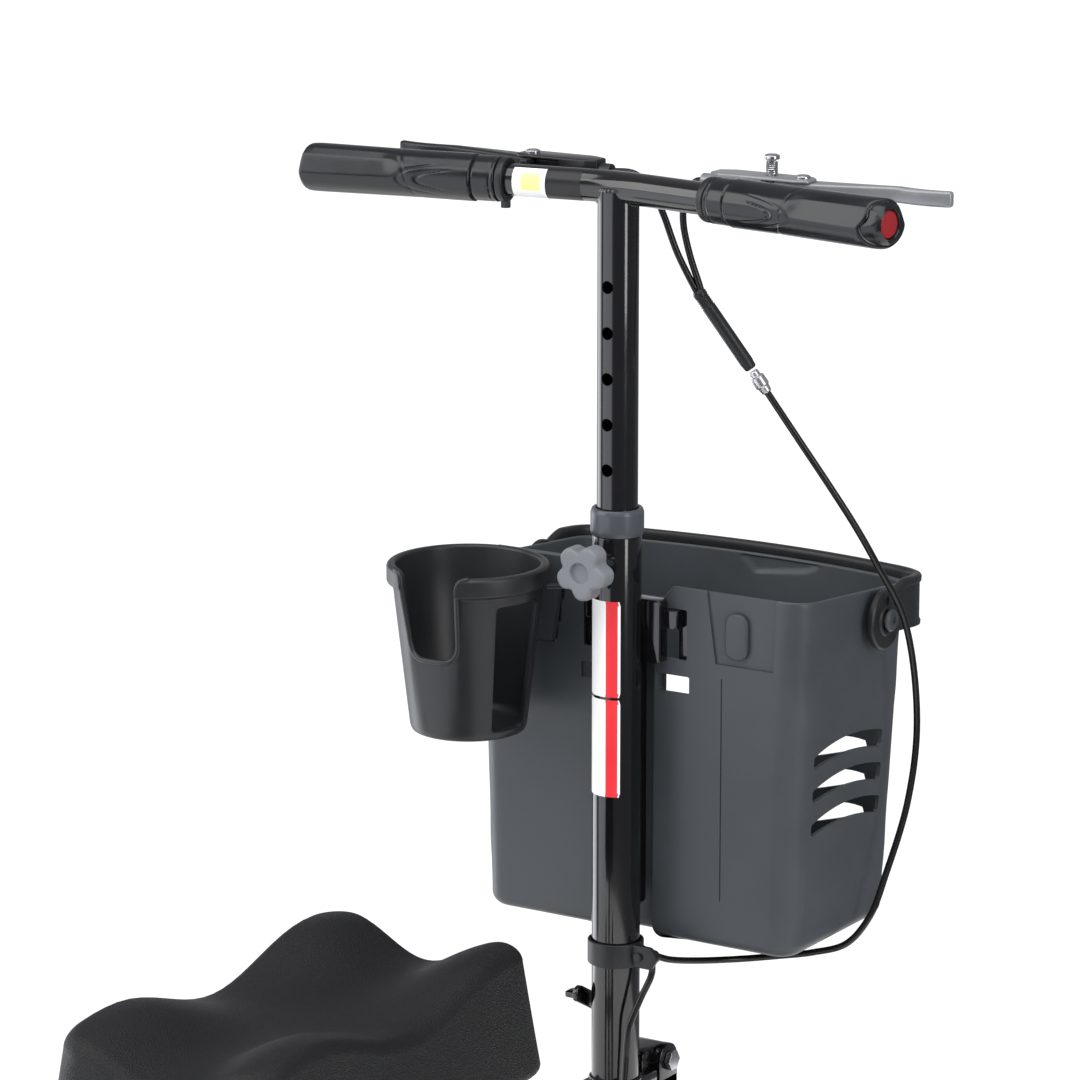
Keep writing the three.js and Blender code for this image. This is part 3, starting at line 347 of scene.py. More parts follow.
def surface(name, color, roughness, metallic=0.0, grain=900, depth=0.00003, blotch=14, spread=0.06,
            tint=0.12, coat=0.0, coat_roughness=0.1, detail=4, specular=0.4, stretch=(1, 1, 1), cells=False):
    """Moulded, painted or metal surface: grain as bump, and slow changes of colour and roughness."""
    material = bpy.data.materials.new(name)
    material.use_nodes = True
    nodes, connect = material.node_tree.nodes, material.node_tree.links.new
    shader = set_inputs(nodes["Principled BSDF"], Metallic=metallic, Coat_Weight=coat,
                        Coat_Roughness=coat_roughness, Specular_IOR_Level=specular)
    place = nodes.new("ShaderNodeTexCoord")
    scaled = set_inputs(nodes.new("ShaderNodeMapping"), Scale=stretch)
    connect(place.outputs["Object"], scaled.inputs["Vector"])
    large = set_inputs(nodes.new("ShaderNodeTexNoise"), Scale=blotch, Detail=5, Roughness=0.6)
    connect(scaled.outputs["Vector"], large.inputs["Vector"])
    gloss = set_inputs(nodes.new("ShaderNodeMapRange"), From_Min=0.3, From_Max=0.7,
                       To_Min=max(roughness - spread, 0.02), To_Max=min(roughness + spread, 1.0))
    connect(large.outputs["Fac"], gloss.inputs["Value"])
    connect(gloss.outputs["Result"], shader.inputs["Roughness"])
    colors = nodes.new("ShaderNodeValToRGB")
    for stop, position, factor in zip(colors.color_ramp.elements, (0.3, 0.72), (1 - tint, 1 + tint)):
        stop.position = position
        stop.color = [min(1, c * factor) for c in color] + [1]
    connect(large.outputs["Fac"], colors.inputs["Fac"])
    connect(colors.outputs["Color"], shader.inputs["Base Color"])
    if cells:
        fine, height = nodes.new("ShaderNodeTexVoronoi"), "Distance"
    else:
        fine, height = set_inputs(nodes.new("ShaderNodeTexNoise"), Detail=detail), "Fac"
    set_inputs(fine, Scale=grain)
    connect(scaled.outputs["Vector"], fine.inputs["Vector"])
    bump = set_inputs(nodes.new("ShaderNodeBump"), Strength=1.0, Distance=depth)
    connect(fine.outputs[height], bump.inputs["Height"])
    connect(bump.outputs["Normal"], shader.inputs["Normal"])
    return material


MATERIALS = {
    "black_paint": surface("gloss_black_paint", (0.0035, 0.0035, 0.004), 0.13, grain=260, depth=0.00002,
                           blotch=9, spread=0.035, coat=0.5, coat_roughness=0.06, detail=2),
    "black_plastic": surface("satin_black_plastic", (0.0085, 0.009, 0.0102), 0.4, grain=1300, depth=0.00006),
    "basket_plastic": surface("charcoal_basket_plastic", (0.036, 0.042, 0.048), 0.42, grain=1500,
                              depth=0.00005, blotch=11, spread=0.08, tint=0.14),
    "cup_plastic": surface("charcoal_cup_plastic", (0.012, 0.0126, 0.0142), 0.36, grain=1500, depth=0.00005,
                           blotch=16),
    "knob_plastic": surface("grey_knob_plastic", (0.13, 0.14, 0.154), 0.45, grain=1100, depth=0.00008),
    "grip_plastic": surface("hard_grip_plastic", (0.006, 0.0066, 0.008), 0.22, grain=1400, depth=0.00002,
                            blotch=25, spread=0.07),
    "pad_foam": surface("integral_skin_foam", (0.004, 0.0042, 0.005), 0.54, grain=1000, depth=0.0004,
                        blotch=18, spread=0.07, cells=True, specular=0.32),
    "tyre_rubber": surface("tyre_rubber", (0.014, 0.014, 0.014), 0.72, grain=800, depth=0.0001),
    "wheel_plastic": surface("wheel_plastic", (0.03, 0.03, 0.032), 0.4, grain=900, depth=0.00006),
    "bright_steel": surface("zinc_plated_steel", (0.55, 0.55, 0.57), 0.27, metallic=1.0, grain=500,
                            depth=0.00003, tint=0.08, stretch=(1, 1, 0.2)),
    "lever_metal": surface("grey_lever_metal", (0.22, 0.226, 0.238), 0.36, metallic=0.5, grain=700,
                           depth=0.00003, blotch=30),
    "reflector": surface("red_reflector", (0.24, 0.004, 0.008), 0.1, grain=900, depth=0.0004, coat=1.0,
                         cells=True, tint=0.2),
    "cable_sheath": surface("cable_sheath", (0.0045, 0.0045, 0.005), 0.25, grain=600, depth=0.000003),
}
LABEL_WHITE = surface("label_white", (0.72, 0.73, 0.74), 0.42, grain=700, depth=0.00001, tint=0.03)
LABEL_RED = surface("label_red", (0.62, 0.02, 0.03), 0.4, grain=700, depth=0.00001, tint=0.05)
LABEL_BLACK = surface("label_black", (0.0055, 0.0055, 0.006), 0.34, grain=700, depth=0.00001)
LABEL_YELLOW = surface("label_yellow", (0.8, 0.66, 0.24), 0.4, grain=700, depth=0.00001, tint=0.05)
COLLAR_PLASTIC = surface("grey_collar_plastic", (0.045, 0.051, 0.06), 0.28, grain=1300, depth=0.00004)
DARK_METAL = surface("dark_lever_metal", (0.012, 0.0125, 0.0135), 0.3, metallic=0.2, grain=700,
                     depth=0.00003, blotch=30)


def piece(obj, body, slot, *nodes, material=None):
    """Gives a new piece its material (by slot unless given) and body, and hides the CAD nodes it stands for.
    """
    obj.data.materials.clear()
    obj.data.materials.append(material or MATERIALS[slot])
    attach(obj, body)
    if nodes:
        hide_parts(*nodes)
    return obj


# ---------------------------------------------------------------- camera and light


CAMERA_LENS = 163.48
CAMERA_PLACE = at(1725.757, -2798.285, 1462.592)
CAMERA_FORWARD = (-0.52448, 0.82045, -0.22755)
CAMERA_RIGHT = (0.84255, 0.53861, 0)

# what gloss reflects round the room: (azimuth from -180 to 180 degrees as 0 to 1, brightness)
REFLECTED_ROOM = (
    (0.035, 3.2), (0.05, 0.3), (0.075, 0.3), (0.095, 1.9), (0.235, 1.9), (0.26, 0.2), (0.78, 0.2),
    (0.83, 0.8), (0.94, 0.8), (0.96, 3.2),
)
ROOM_ENDS = 3.2  # brightness where the azimuth begins again
ROOM_ABOVE = 0.3
ROOM_RISE = 0.25  # how far up the bright strips fade out
BACKGROUND = 1.12
FLOOR_R = 1.05


def build_camera():
    """The photograph's view: 32.6 degrees round, 13.2 degrees down, with a long lens."""
    data = bpy.data.cameras.new("camera")
    data.lens = CAMERA_LENS
    data.sensor_width = 36
    data.clip_end = 60
    camera = add_object("camera", data)
    forward = Vector(CAMERA_FORWARD).normalized()
    right = Vector(CAMERA_RIGHT).normalized()
    turn = Matrix((right, right.cross(forward), -forward)).transposed()
    camera.matrix_world = Matrix.Translation(Vector(CAMERA_PLACE * MM)) @ turn.to_4x4()
    bpy.context.scene.camera = camera


def area_light(name, place, target, size, power):
    data = bpy.data.lights.new(name, "AREA")
    data.shape = "RECTANGLE"
    data.size, data.size_y = size
    data.energy = power
    light = add_object(name, data)
    direction = Vector(target) - Vector(place)
    light.rotation_euler = direction.to_track_quat("-Z", "Y").to_euler()
    light.location = place


def build_world():
    """A white background, and a room with bright and dark walls that only reflections see."""
    world = bpy.data.worlds.new("studio")
    world.use_nodes = True
    nodes, connect = world.node_tree.nodes, world.node_tree.links.new
    place = nodes.new("ShaderNodeTexCoord")
    turn = nodes.new("ShaderNodeTexGradient")
    turn.gradient_type = "RADIAL"
    connect(place.outputs["Generated"], turn.inputs["Vector"])
    room = nodes.new("ShaderNodeValToRGB")
    stops = room.color_ramp.elements
    stops[0].color = stops[1].color = (ROOM_ENDS, ROOM_ENDS, ROOM_ENDS, 1)
    for position, grey in REFLECTED_ROOM:
        stops.new(position).color = (grey * 0.97, grey * 0.99, grey * 1.06, 1)
    connect(turn.outputs["Fac"], room.inputs["Fac"])
    parts = nodes.new("ShaderNodeSeparateXYZ")
    connect(place.outputs["Generated"], parts.inputs["Vector"])
    rise = set_inputs(nodes.new("ShaderNodeMapRange"), From_Min=0.0, From_Max=ROOM_RISE)
    connect(parts.outputs["Z"], rise.inputs["Value"])
    ceiling, mix = nodes.new("ShaderNodeMix"), nodes.new("ShaderNodeMix")
    ceiling.data_type = mix.data_type = "RGBA"
    connect(rise.outputs["Result"], ceiling.inputs["Factor"])
    connect(room.outputs["Color"], ceiling.inputs["A"])
    set_inputs(ceiling, B=(ROOM_ABOVE, ROOM_ABOVE, ROOM_ABOVE * 1.06, 1))
    path = nodes.new("ShaderNodeLightPath")
    connect(path.outputs["Is Glossy Ray"], mix.inputs["Factor"])
    set_inputs(mix, A=(BACKGROUND, BACKGROUND, BACKGROUND, 1))
    connect(ceiling.outputs["Result"], mix.inputs["B"])
    connect(mix.outputs["Result"], nodes["Background"].inputs["Color"])
    bpy.context.scene.world = world


def build_studio():
    settings = bpy.context.scene.view_settings
    settings.view_transform = "Standard"
    settings.look = "None"
    build_world()
    mesh = bpy.data.meshes.new("floor")
    edge = [(FLOOR_R * math.cos(a), FLOOR_R * math.sin(a), 0) for a in np.linspace(0, 2 * math.pi, 129)[:-1]]
    mesh.from_pydata(edge, [], [tuple(range(len(edge)))])
    mesh.materials.append(surface("pale_floor", (0.9, 0.9, 0.9), 0.7, grain=60, depth=0.0001, tint=0.004,
                                  specular=0.2))
    add_object("floor", mesh)
    target = (0, COLUMN_Y * MM, 0.6)
    area_light("key", (-2.6, -2.2, 2.6), target, (2.6, 2.6), 72)
    area_light("fill", (3.2, -0.6, 1.4), target, (0.8, 2.4), 40)
    area_light("top", (0.2, -0.9, 3.3), target, (3.0, 3.0), 75)


# ---------------------------------------------------------------- column, stem and bar

COLUMN_R = 17
FIT = 0.3  # room between a tube and what is clamped round it
STEM_R = 14.3
STEM_WALL = 2
BAR_R = 11.1
BAR_BORE = 9.3
BAR_Z = 940
BAR_SWEEP = math.radians(9.43)
BAR_HALF = 233.5
GRIP_LENGTH = 147
HOLE_PITCH = 31.75
TOP_HOLE_Z = 872.9
HOLE_R = 4.45
HOLES = 8


def bar_direction(side):
    return np.array([side * math.cos(BAR_SWEEP), -math.sin(BAR_SWEEP), 0])


def bar_point(side, distance):
    return at(0, 0, BAR_Z) + bar_direction(side) * distance


def bead_ring(center, out, axis, size):
    return [center + (out * math.cos(t) + axis * math.sin(t)) * size
            for t in np.linspace(0, 2 * math.pi, 9)[:-1]]


def weld(name, center, axis, radius, thick=1.6, segments=64):
    """A weld bead round a tube, a little uneven."""
    axis, u, v = basis(axis)
    rings = []
    for angle in round_angles(segments * 3):
        out = u * math.cos(angle) + v * math.sin(angle)
        ripple = thick * (1 + 0.12 * math.sin(angle * 40))
        rings.append(bead_ring(center + out * radius, out, axis, ripple))
    return stack(name, rings, loop=True)


def saddle_weld():
    """The bead where the stem meets the underside of the bar."""
    rings = []
    for angle in round_angles(180):
        x, y = STEM_R * math.cos(angle), STEM_R * math.sin(angle)
        across = min(abs(y), BAR_R * 0.999)
        z = BAR_Z - math.sqrt(BAR_R ** 2 - across ** 2)
        out = np.array([math.cos(angle), math.sin(angle), 0])
        rings.append(bead_ring(at(x, y, z - 0.4), out, UP, 1.5 * (1 + 0.15 * math.sin(angle * 34))))
    return stack("bead", rings, loop=True)


def build_stem():
    low = z_range("handlebar")[0]
    bore = STEM_R - STEM_WALL
    tube = turned_ring("stem_tube", [(bore, low), (STEM_R, low), (STEM_R, BAR_Z), (bore, BAR_Z - 6)],
                       at(0, 0, 0), UP, soft=0.4)
    heights = [TOP_HOLE_Z - HOLE_PITCH * i for i in range(HOLES)]
    carve(tube, *[drill(HOLE_R, at(0, -22, z), at(0, 22, z), 40) for z in heights])
    bend = 26
    path = [bar_point(-1, 226 - k * 20) for k in range(10)]
    path += [np.append(p, BAR_Z) for p in bezier2(bar_point(-1, bend)[:2], at(0, 0, 0)[:2],
                                                  bar_point(1, bend)[:2], 16)]
    path += [bar_point(1, 46 + k * 20) for k in range(10)]
    bar = sweep("bar_tube", path, BAR_R, 56, bore=BAR_BORE)
    piece(merge("stem_and_bar", tube, bar, saddle_weld()), "stem", "black_paint", "handlebar")


def build_column():
    low, high = z_range("lower_column")
    bore, floor = 14.75, low + 12
    tube = turned_ring("column_tube", [
        (bore, floor), (bore, high), (COLUMN_R, high), (COLUMN_R, low + 4), (0.1, low + 4), (0.1, floor),
    ], at(0, 0, 0), UP, soft=0.5)
    knob_z = middle("column_clamp_knob")[2]
    boss = ring_tube("boss", 9, 3.4, at(0, -27, knob_z), at(0, -15, knob_z), 48, 0.7)
    foot = box("foot", (-17, 17), (-24, 30), (low, low + 9), 1.5)
    lug = plate("lug", round_corners([
        (20, low, 1), (FOLD_Y + 11.5, low + 0.5, 11), (FOLD_Y + 11.5, FOLD_Z + 11.5, 11), (20, low + 22, 6),
    ], 8), -10.2, 10.2, "x", 0.8)
    bead = weld("bead", at(0, 0, low + 9.6), UP, COLUMN_R + 0.3, 1.5)
    piece(merge("column_tube", tube, boss, foot, lug, bead), "column", "black_paint", "lower_column")

    low, high = z_range("column_collar")
    ring = turned_ring("column_collar_ring", [
        (14.85, low), (18, low), (18.6, low + 3), (18.6, high - 3), (17.4, high), (14.85, high),
    ], at(0, 0, 0), UP)
    carve(ring, box("slot", (-1, 1), (10, 30), (low - 5, high + 5), 0))
    piece(ring, "column", "black_plastic", "column_collar", material=COLLAR_PLASTIC)


def skin(name, points, count, thickness):
    """A thin skin over rows of count points each."""
    faces = [(a, a + 1, a + count + 1, a + count) for row in range(0, len(points) - count, count)
             for a in range(row, row + count - 1)]
    obj = from_faces(name, points, faces)
    thick = obj.modifiers.new("thickness", "SOLIDIFY")
    thick.thickness = thickness * MM
    thick.offset = 1
    return bake(obj)


LABEL_ANGLES = (196, 310)
RED_BAND = (276, 305)


def build_label(name, low, high):
    """A blank label on the column: white, with a red band down one side. Angles are in degrees."""
    radius = COLUMN_R + 0.12
    start, end = LABEL_ANGLES
    across, up = 36, 24
    corner = 0.9
    points = []
    for i in range(up + 1):
        z = low + (high - low) * i / up
        inset = 0.0
        edge = min(z - low, high - z)
        if edge < corner:
            inset = corner - math.sqrt(corner ** 2 - (corner - edge) ** 2)
        turn = math.degrees(inset / radius)
        for k in range(across + 1):
            angle = math.radians(start + turn + (end - start - 2 * turn) * k / across)
            points.append(at(radius * math.cos(angle), radius * math.sin(angle), z))
    obj = piece(skin(name, points, across + 1, 0.12), "column", "black_plastic", material=LABEL_WHITE)
    obj.data.materials.append(LABEL_RED)
    for polygon in obj.data.polygons:
        x, y = polygon.center[0] / MM, polygon.center[1] / MM - COLUMN_Y
        if RED_BAND[0] < math.degrees(math.atan2(y, x)) % 360 < RED_BAND[1]:
            polygon.material_index = 1


def build_bar_label():
    """The blank label on the bar, left of the stem: black, then white with a yellow patch."""
    axis = bar_direction(-1)
    back = np.cross(UP, axis)
    points = [bar_point(-1, s) + (back * math.cos(a) + UP * math.sin(a)) * (BAR_R + 0.1)
              for s in np.linspace(24, 74, 40) for a in np.radians(np.linspace(-70, 60, 30))]
    obj = piece(skin("bar_label", points, 30, 0.1), "stem", "black_plastic", material=LABEL_BLACK)
    obj.data.materials.append(LABEL_WHITE)
    obj.data.materials.append(LABEL_YELLOW)
    for polygon in obj.data.polygons:
        offset = np.array(polygon.center) / MM - bar_point(-1, 0)
        s = float(np.dot(offset, axis))
        if s > 50:
            polygon.material_index = 2 if 54 < s < 67 and -5 < offset[2] < 7 else 1


def star_knob(name, node, body):
    low, high = span(node)
    center = (low + high) / 2
    origin = np.array([center[0], low[1], center[2]])
    depth = high[1] - low[1]

    def ring(scale, y, star=1.0):
        points = []
        for angle in round_angles(150):
            lobes = 5 * (angle + 0.75)
            r = 17.7 + 2.5 * math.cos(lobes) - 0.55 * math.cos(2 * lobes)
            r = (star * r + (1 - star) * 17) * scale
            points.append(origin + [r * math.sin(angle), y, r * math.cos(angle)])
        return points

    rings = [ring(0.02, 3, 0), ring(0.36, 3, 0), ring(0.4, 2.7, 0), ring(0.42, 0.6, 0), ring(0.45, 0, 0)]
    rings += [ring(0.6, 0.0, 0.3), ring(0.8, 0.1, 0.8)]
    rings += [ring(0.86 + 0.14 * math.sin(t), 0.2 + 3.2 * (1 - math.cos(t)), 1)
              for t in np.linspace(0.2, math.pi / 2, 7)]
    rings += [ring(0.86 + 0.14 * math.sin(t), 16 - 2.4 * (1 + math.cos(t)) * 0.999, 1)
              for t in np.linspace(math.pi / 2, math.pi - 0.2, 6)]
    rings += [ring(0.55, 15.9, 0.2), ring(0.5, 16, 0)]
    neck = 16 + (7.5 if body == "column_knob" else 8.5)
    rings += [ring(0.5, neck - 1, 0), ring(0.47, neck, 0), ring(0.176, neck, 0), ring(0.176, depth, 0)]
    piece(stack(name, rings), body, "knob_plastic", node)


def grip_radius(s, angle):
    """Radius of a hand grip s mm from its inner end. Both side faces (angles 0 and pi) are alike."""
    side_angle = math.asin(max(-1, min(1, math.sin(angle))))
    if s < 17.5:
        return 15.7 - 0.5 * math.exp(-((s - 3) / 0.7) ** 2) - 0.9 * math.exp(-((s - 17.4) / 0.8) ** 2)
    base = np.interp(s, [17.5, 18.6, 60, 110, 140, GRIP_LENGTH], [15.6, 16.5, 16.3, 16.7, 16.9, 16.6])
    outer = smooth((s - 66 - 5 * side_angle) / 16)
    flat = 14.6 / max(0.5, math.cos(side_angle - 0.40))
    # a crease below the flat, and a soft turn above it
    crisp = np.interp(side_angle, [-0.1, 0.9], [5.0, 0.8])
    level = base - math.log(1 + math.exp(min(40, (base - flat) * crisp))) / crisp
    base += (level - base) * outer
    for reach, width, deep in ((40, 0.5, 0.8), (54, 0.78, 0.5)):
        along_line = (s - 17.5) / reach
        shape = math.hypot(along_line, (side_angle + 0.1) / width) - 1
        base -= deep * math.exp(-(shape * reach / 2.0) ** 2) * smooth((along_line - 0.25) / 0.5)
    base -= 0.3 * math.exp(-((s - 66 - 6 * side_angle) / 1.2) ** 2)
    return base


def build_grip(side, label):
    start = BAR_HALF - GRIP_LENGTH
    axis = bar_direction(side)
    out = np.cross(axis, UP)
    bore = BAR_R + 0.35
    soft = 2.4
    angles = round_angles(160)

    def end_at(r, angle):
        """The end is square round its reflector and cut away obliquely towards one side."""
        across = r * math.cos(angle)
        cut = max(0, 0.62 * (across + 1)) + 0.2 * (min(across, 0) + r)
        return GRIP_LENGTH - cut * smooth((r - 9.4) / 7)

    def point(s, r, angle):
        return at(0, 0, BAR_Z) + axis * (start + s) + (out * math.cos(angle) + UP * math.sin(angle)) * r

    def tube(s, r):
        return [point(s, r, a) for a in angles]

    rings = [tube(GRIP_LENGTH - 7, 0.2), tube(GRIP_LENGTH - 7, bore), tube(0.5, bore), tube(0, bore + 0.4)]
    for s, pull in ((0, 0.9), (0.35, 0.25)):
        rings.append([point(s, grip_radius(0, a) - pull, a) for a in angles])
    for s in np.linspace(1, GRIP_LENGTH - soft, 220):
        ring = []
        for a in angles:
            r = grip_radius(s, a)
            stretch = 1 + (end_at(r, a) / GRIP_LENGTH - 1) * smooth((s - 70) / 60)
            ring.append(point(s * stretch, r, a))
        rings.append(ring)
    last = [(a, grip_radius(GRIP_LENGTH, a)) for a in angles]
    for t in np.linspace(0.25, math.pi / 2, 6):
        pull, back = soft * (1 - math.cos(t)), soft * (1 - math.sin(t))
        rings.append([point(end_at(r, a) - back, r - pull, a) for a, r in last])
    for r in (13.2, 12, 11):
        rings.append([point(end_at(r, a), min(r, edge - soft - (14 - r) * 0.3), a) for a, edge in last])
    rings += [tube(GRIP_LENGTH - down, r) for down, r in ((0, 10.2), (0.5, 9.8), (2.9, 9.7), (2.9, 0.2))]
    piece(stack(f"hand_grip_{label}", rings, 50), "stem", "grip_plastic", f"grip_{label}")
    profile = [(r, BAR_HALF - down) for r, down in ((0, 2.8), (9.3, 2.8), (9.3, 1.6), (8.4, 1.2), (0, 1.1))]
    lens = lathe(f"end_reflector_{label}", soften(profile, 0.4), at(0, 0, BAR_Z), axis, 64)
    piece(lens, "stem", "reflector", f"grip_reflector_{label}")


# ---------------------------------------------------------------- levers

CLAMP = (80.5, 86)
MOUNTS = {
    "left": {"side": -1, "inboard": 30, "pivot": (86, 27), "outboard": 96, "tip": (203, 40)},
    "right": {"side": 1, "inboard": 60, "pivot": (128, 27), "outboard": 136, "tip": (231, 46)},
}
MOUNT_Z = (938, 953)
LEVER_Z = (939.8, 950.7)
CABLE_Z = 945.5
LOCK = (104, 27)
SPRING_TURNS, SPRING_STEPS = 7, 16


def build_lever(label, side, inboard, pivot, outboard, tip):
    metal = MATERIALS["lever_metal"] if label == "right" else DARK_METAL
    bx, by = pivot
    ends = [bar_point(side, distance) for distance in CLAMP]
    ring = ring_tube("ring", 15.4, BAR_R + 0.35, *ends, 64, 1.2)
    ring_middle = bar_point(side, sum(CLAMP) / 2)
    bolt_way = -UP if label == "left" else np.array([0, 1.0, 0])
    bolt = rod("bolt", 3.8, ring_middle + bolt_way * 19.5, ring_middle + bolt_way * 13, 6, 0.5)
    piece(merge(f"lever_clamp_{label}", ring, bolt), "stem", "black_plastic")

    body = plate("body", round_corners([(side * x, y, r) for x, y, r in [
        (inboard, 20, 2), (inboard, 33, 3), (inboard + 12, 38, 6), (outboard - 6, 38, 5),
        (outboard, 32, 5), (outboard, 20, 5), (outboard - 8, 17, 4), (inboard + 8, 17, 4),
    ]]), *MOUNT_Z, "z", 1.2)
    neck = box("neck", sorted(side * x for x in CLAMP), (9, 21), (941, 950.5), 1.2)
    slot = [(bx - 27, 12), (bx - 27, 44), (outboard + 4, 44), (outboard + 4, 12)]
    carve(body, plate("slot", [(side * x, y) for x, y in slot], LEVER_Z[0] - 0.4, LEVER_Z[1] + 0.4, "z", 0))
    ends = [at(side * (inboard + x), 26, CABLE_Z) for x in (-9, 4)]
    outlet = rod("outlet", 5, *ends, 40, 1)
    piece(merge(f"lever_mount_{label}", body, neck, outlet), "stem", "lever_metal",
          f"brake_lever_mount_{label}", material=metal)
    low, high = MOUNT_Z
    piece(lathe(f"lever_pivot_{label}", soften([
        (0, low + 0.5), (3, low + 0.5), (3, high - 0.9), (5, high - 0.9), (5, high + 1.6), (3.6, high + 2.4),
        (0, high + 2.4),
    ], 0.4), at(side * bx, by, 0), UP, 40), "stem", "bright_steel")

    tx, ty = tip

    def blade_at(part, y):
        return bx + part * (tx - bx), y

    upper = bezier2((bx - 4, by + 9), blade_at(0.3, by + 14), blade_at(0.62, ty + 2), 14)
    upper += bezier2(blade_at(0.62, ty + 2), blade_at(0.85, ty - 4), blade_at(1, ty + 2), 8)[1:]
    lower = bezier2(blade_at(1.01, ty - 4), blade_at(0.85, ty - 10), blade_at(0.62, ty - 5), 8)
    lower += bezier2(blade_at(0.62, ty - 5), blade_at(0.3, by + 2), (bx + 6, by - 6), 14)[1:]
    outline = [(bx - 24, by - 4), (bx - 24, by + 4), *upper, *lower]
    blade = plate(f"lever_blade_{label}", [(side * x, y) for x, y in outline], *LEVER_Z, "z", 2.2, 4)
    carve(blade, drill(3.35, at(side * bx, by, 930), at(side * bx, by, 960)),
          drill(6, at(*LOCK, 930), at(*LOCK, 960)))
    piece(blade, f"lever_{label}", "lever_metal", f"brake_lever_{label}", material=metal)


def build_levers():
    for label, mount in MOUNTS.items():
        build_lever(label, **mount)
    low, high = z_range("brake_lock_plunger")
    piece(lathe("lock_pin", soften([
        (0, low), (2.6, low), (2.6, high - 3.5), (5.2, high - 3.5), (5.2, high - 0.8), (3.5, high),
        (0, high),
    ], 0.4), at(*LOCK, 0), UP, 40), "lock_plunger", "bright_steel", "brake_lock_plunger")
    steps = SPRING_TURNS * SPRING_STEPS
    path = []
    for k in range(steps):
        angle = 2 * math.pi * k / SPRING_STEPS
        coil = np.array([3.6 * math.cos(angle), 3.6 * math.sin(angle), 953.6 + k / steps * 9.4])
        path.append(at(*LOCK, 0) + coil)
    spring = piece(sweep("lock_spring", path, 0.6, 8), "stem", "bright_steel")
    tuple(at(*LOCK, MOUNT_Z[1]) * MM)
    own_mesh(spring)


# ---------------------------------------------------------------- cables

SPLITTER = (at(39, 40, 866.5), at(73, 55.5, 813))
CLIP_Z = 399.5
CLIP_EYE = (31, -1, CLIP_Z)
BESIDE_BASKET = (149, 100, 676)
CABLE_R = 2.4


def along(t):
    return SPLITTER[0] + (SPLITTER[1] - SPLITTER[0]) * t


def points_at(*points):
    return [at(*p) for p in points]


def build_cables():
    top, inside = along(-0.02), along(0.04)
    left = points_at((-21.5, 26, CABLE_Z), (-4, 27, 945), (11, 26, 935), (20, 26, 919), (28, 31, 893))
    left += [top + [-2.0, 0.4, 1.0], inside + [-1.6, 0, 0]]
    right = points_at((51.5, 26, CABLE_Z), (43, 29, 943), (34, 31, 931), (32, 32, 915), (34.5, 36, 893))
    right += [top + [2.0, 1.2, 1.6], inside + [1.6, 0, 0]]
    main = [along(1.25)] + points_at(
        (106, 66, 764), (125, 76, 732), (139, 87, 704), BESIDE_BASKET, (158, 125, 632), (161, 140, 557),
        (157, 136, 499), (149, 121, 449), (142, 110, 418), (128, 102, 398), (106, 94, 390), (85, 82, 387),
        (62, 62, 386), (44, 32, 390), (36, 12, 395), (CLIP_EYE[0] + 1, CLIP_EYE[1] + 3, CLIP_EYE[2]))
    column = points_at((30, 0, 396), (29.5, 0, 386), (26, -9, 370), (22, -18, 350), (21, -20, 330))
    hinge = points_at((21, -20, 330), (22, -24, 308), (22.5, -27, 285))
    steer = points_at((22.5, -27, 285.3), (24, -34, 262), (24, -52, 243), (23, -75, 229.8))
    back = points_at((23, -75.5, 229.8), (22.5, -200, 204), (24, -340, 190), (25, -450, 168),
                     (50, -520, 158), (90, -545, 163), (105.5, -555, 168.5))
    for name, points, steps, body in [
            ("left", left, 60, "stem"), ("right", right, 60, "stem"), ("main", main, 220, None),
            ("column", column, 40, "column"), ("hinge", hinge, 40, None), ("steering", steer, 40, None),
            ("frame", back, 120, "frame")]:
        tube = sweep(f"cable_{name}", centripetal(points, steps), CABLE_R, 20)
        tube.data.materials.append(MATERIALS["cable_sheath"])
        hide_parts(f"brake_cable_{name}")
        if body:
            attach(tube, body)
        elif name == "main":
            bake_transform(tube)
        elif name == "hinge":
            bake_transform(tube)
        else:
            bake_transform(tube)
    axis = SPLITTER[1] - SPLITTER[0]
    length = np.linalg.norm(axis)
    profile = [(0, 0), (3.6, 0), (4.8, 2)]
    for k in range(5):
        profile += [(4.8, 5 + k * 1.7), (4.35, 5.4 + k * 1.7), (4.35, 6.1 + k * 1.7), (4.8, 6.5 + k * 1.7)]
    profile += [(4.8, length - 6), (4.2, length - 1), (3.4, length), (0, length)]
    piece(lathe("splitter_body", soften(profile, 0.3), SPLITTER[0], axis, 56), "stem", "black_plastic",
          "cable_splitter")
    barrel = [(0, 0), (2.9, 0), (3.5, 1), (3.5, 4), (5, 5), (5, 12), (4.1, 13), (3.6, 17), (2.6, 18),
              (0, 18)]
    piece(lathe("adjuster_barrel", soften(barrel, 0.35), along(1.03), axis, 48), "stem", "bright_steel",
          "cable_adjuster")


def build_clip():
    low, high = z_range("cable_clip")
    ring = ring_tube("ring", 19.8, COLUMN_R + FIT, at(0, 0, low), at(0, 0, high), 96, 1.0)
    tab = plate("tab", round_corners([
        (14, low + 0.5, 1), (33, low + 0.5, 5), (38.6, CLIP_Z, 6), (33, high - 0.5, 5), (14, high - 0.5, 1),
    ], 8), -7.4, -3.6, "y", 0.9)
    tab2 = plate("tab", round_corners([
        (16, low + 1.5, 1), (26, low + 1.5, 4), (26, high - 1.5, 4), (16, high - 1.5, 1),
    ], 8), -2.9, 0.6, "y", 0.9)
    screw = rod("screw", 3.2, at(23, -9.6, CLIP_Z), at(23, 1.6, CLIP_Z), 32, 0.6)
    eye = turned_ring("eye", [(2.6, -3), (4.6, -3), (4.6, 3), (2.6, 3)], at(31.4, -1.5, CLIP_Z),
                      (0.15, 1, 0), 40, 0.7)
    piece(merge("cable_band", ring, tab, tab2, screw, eye), "column", "black_plastic", "cable_clip")


# ---------------------------------------------------------------- basket

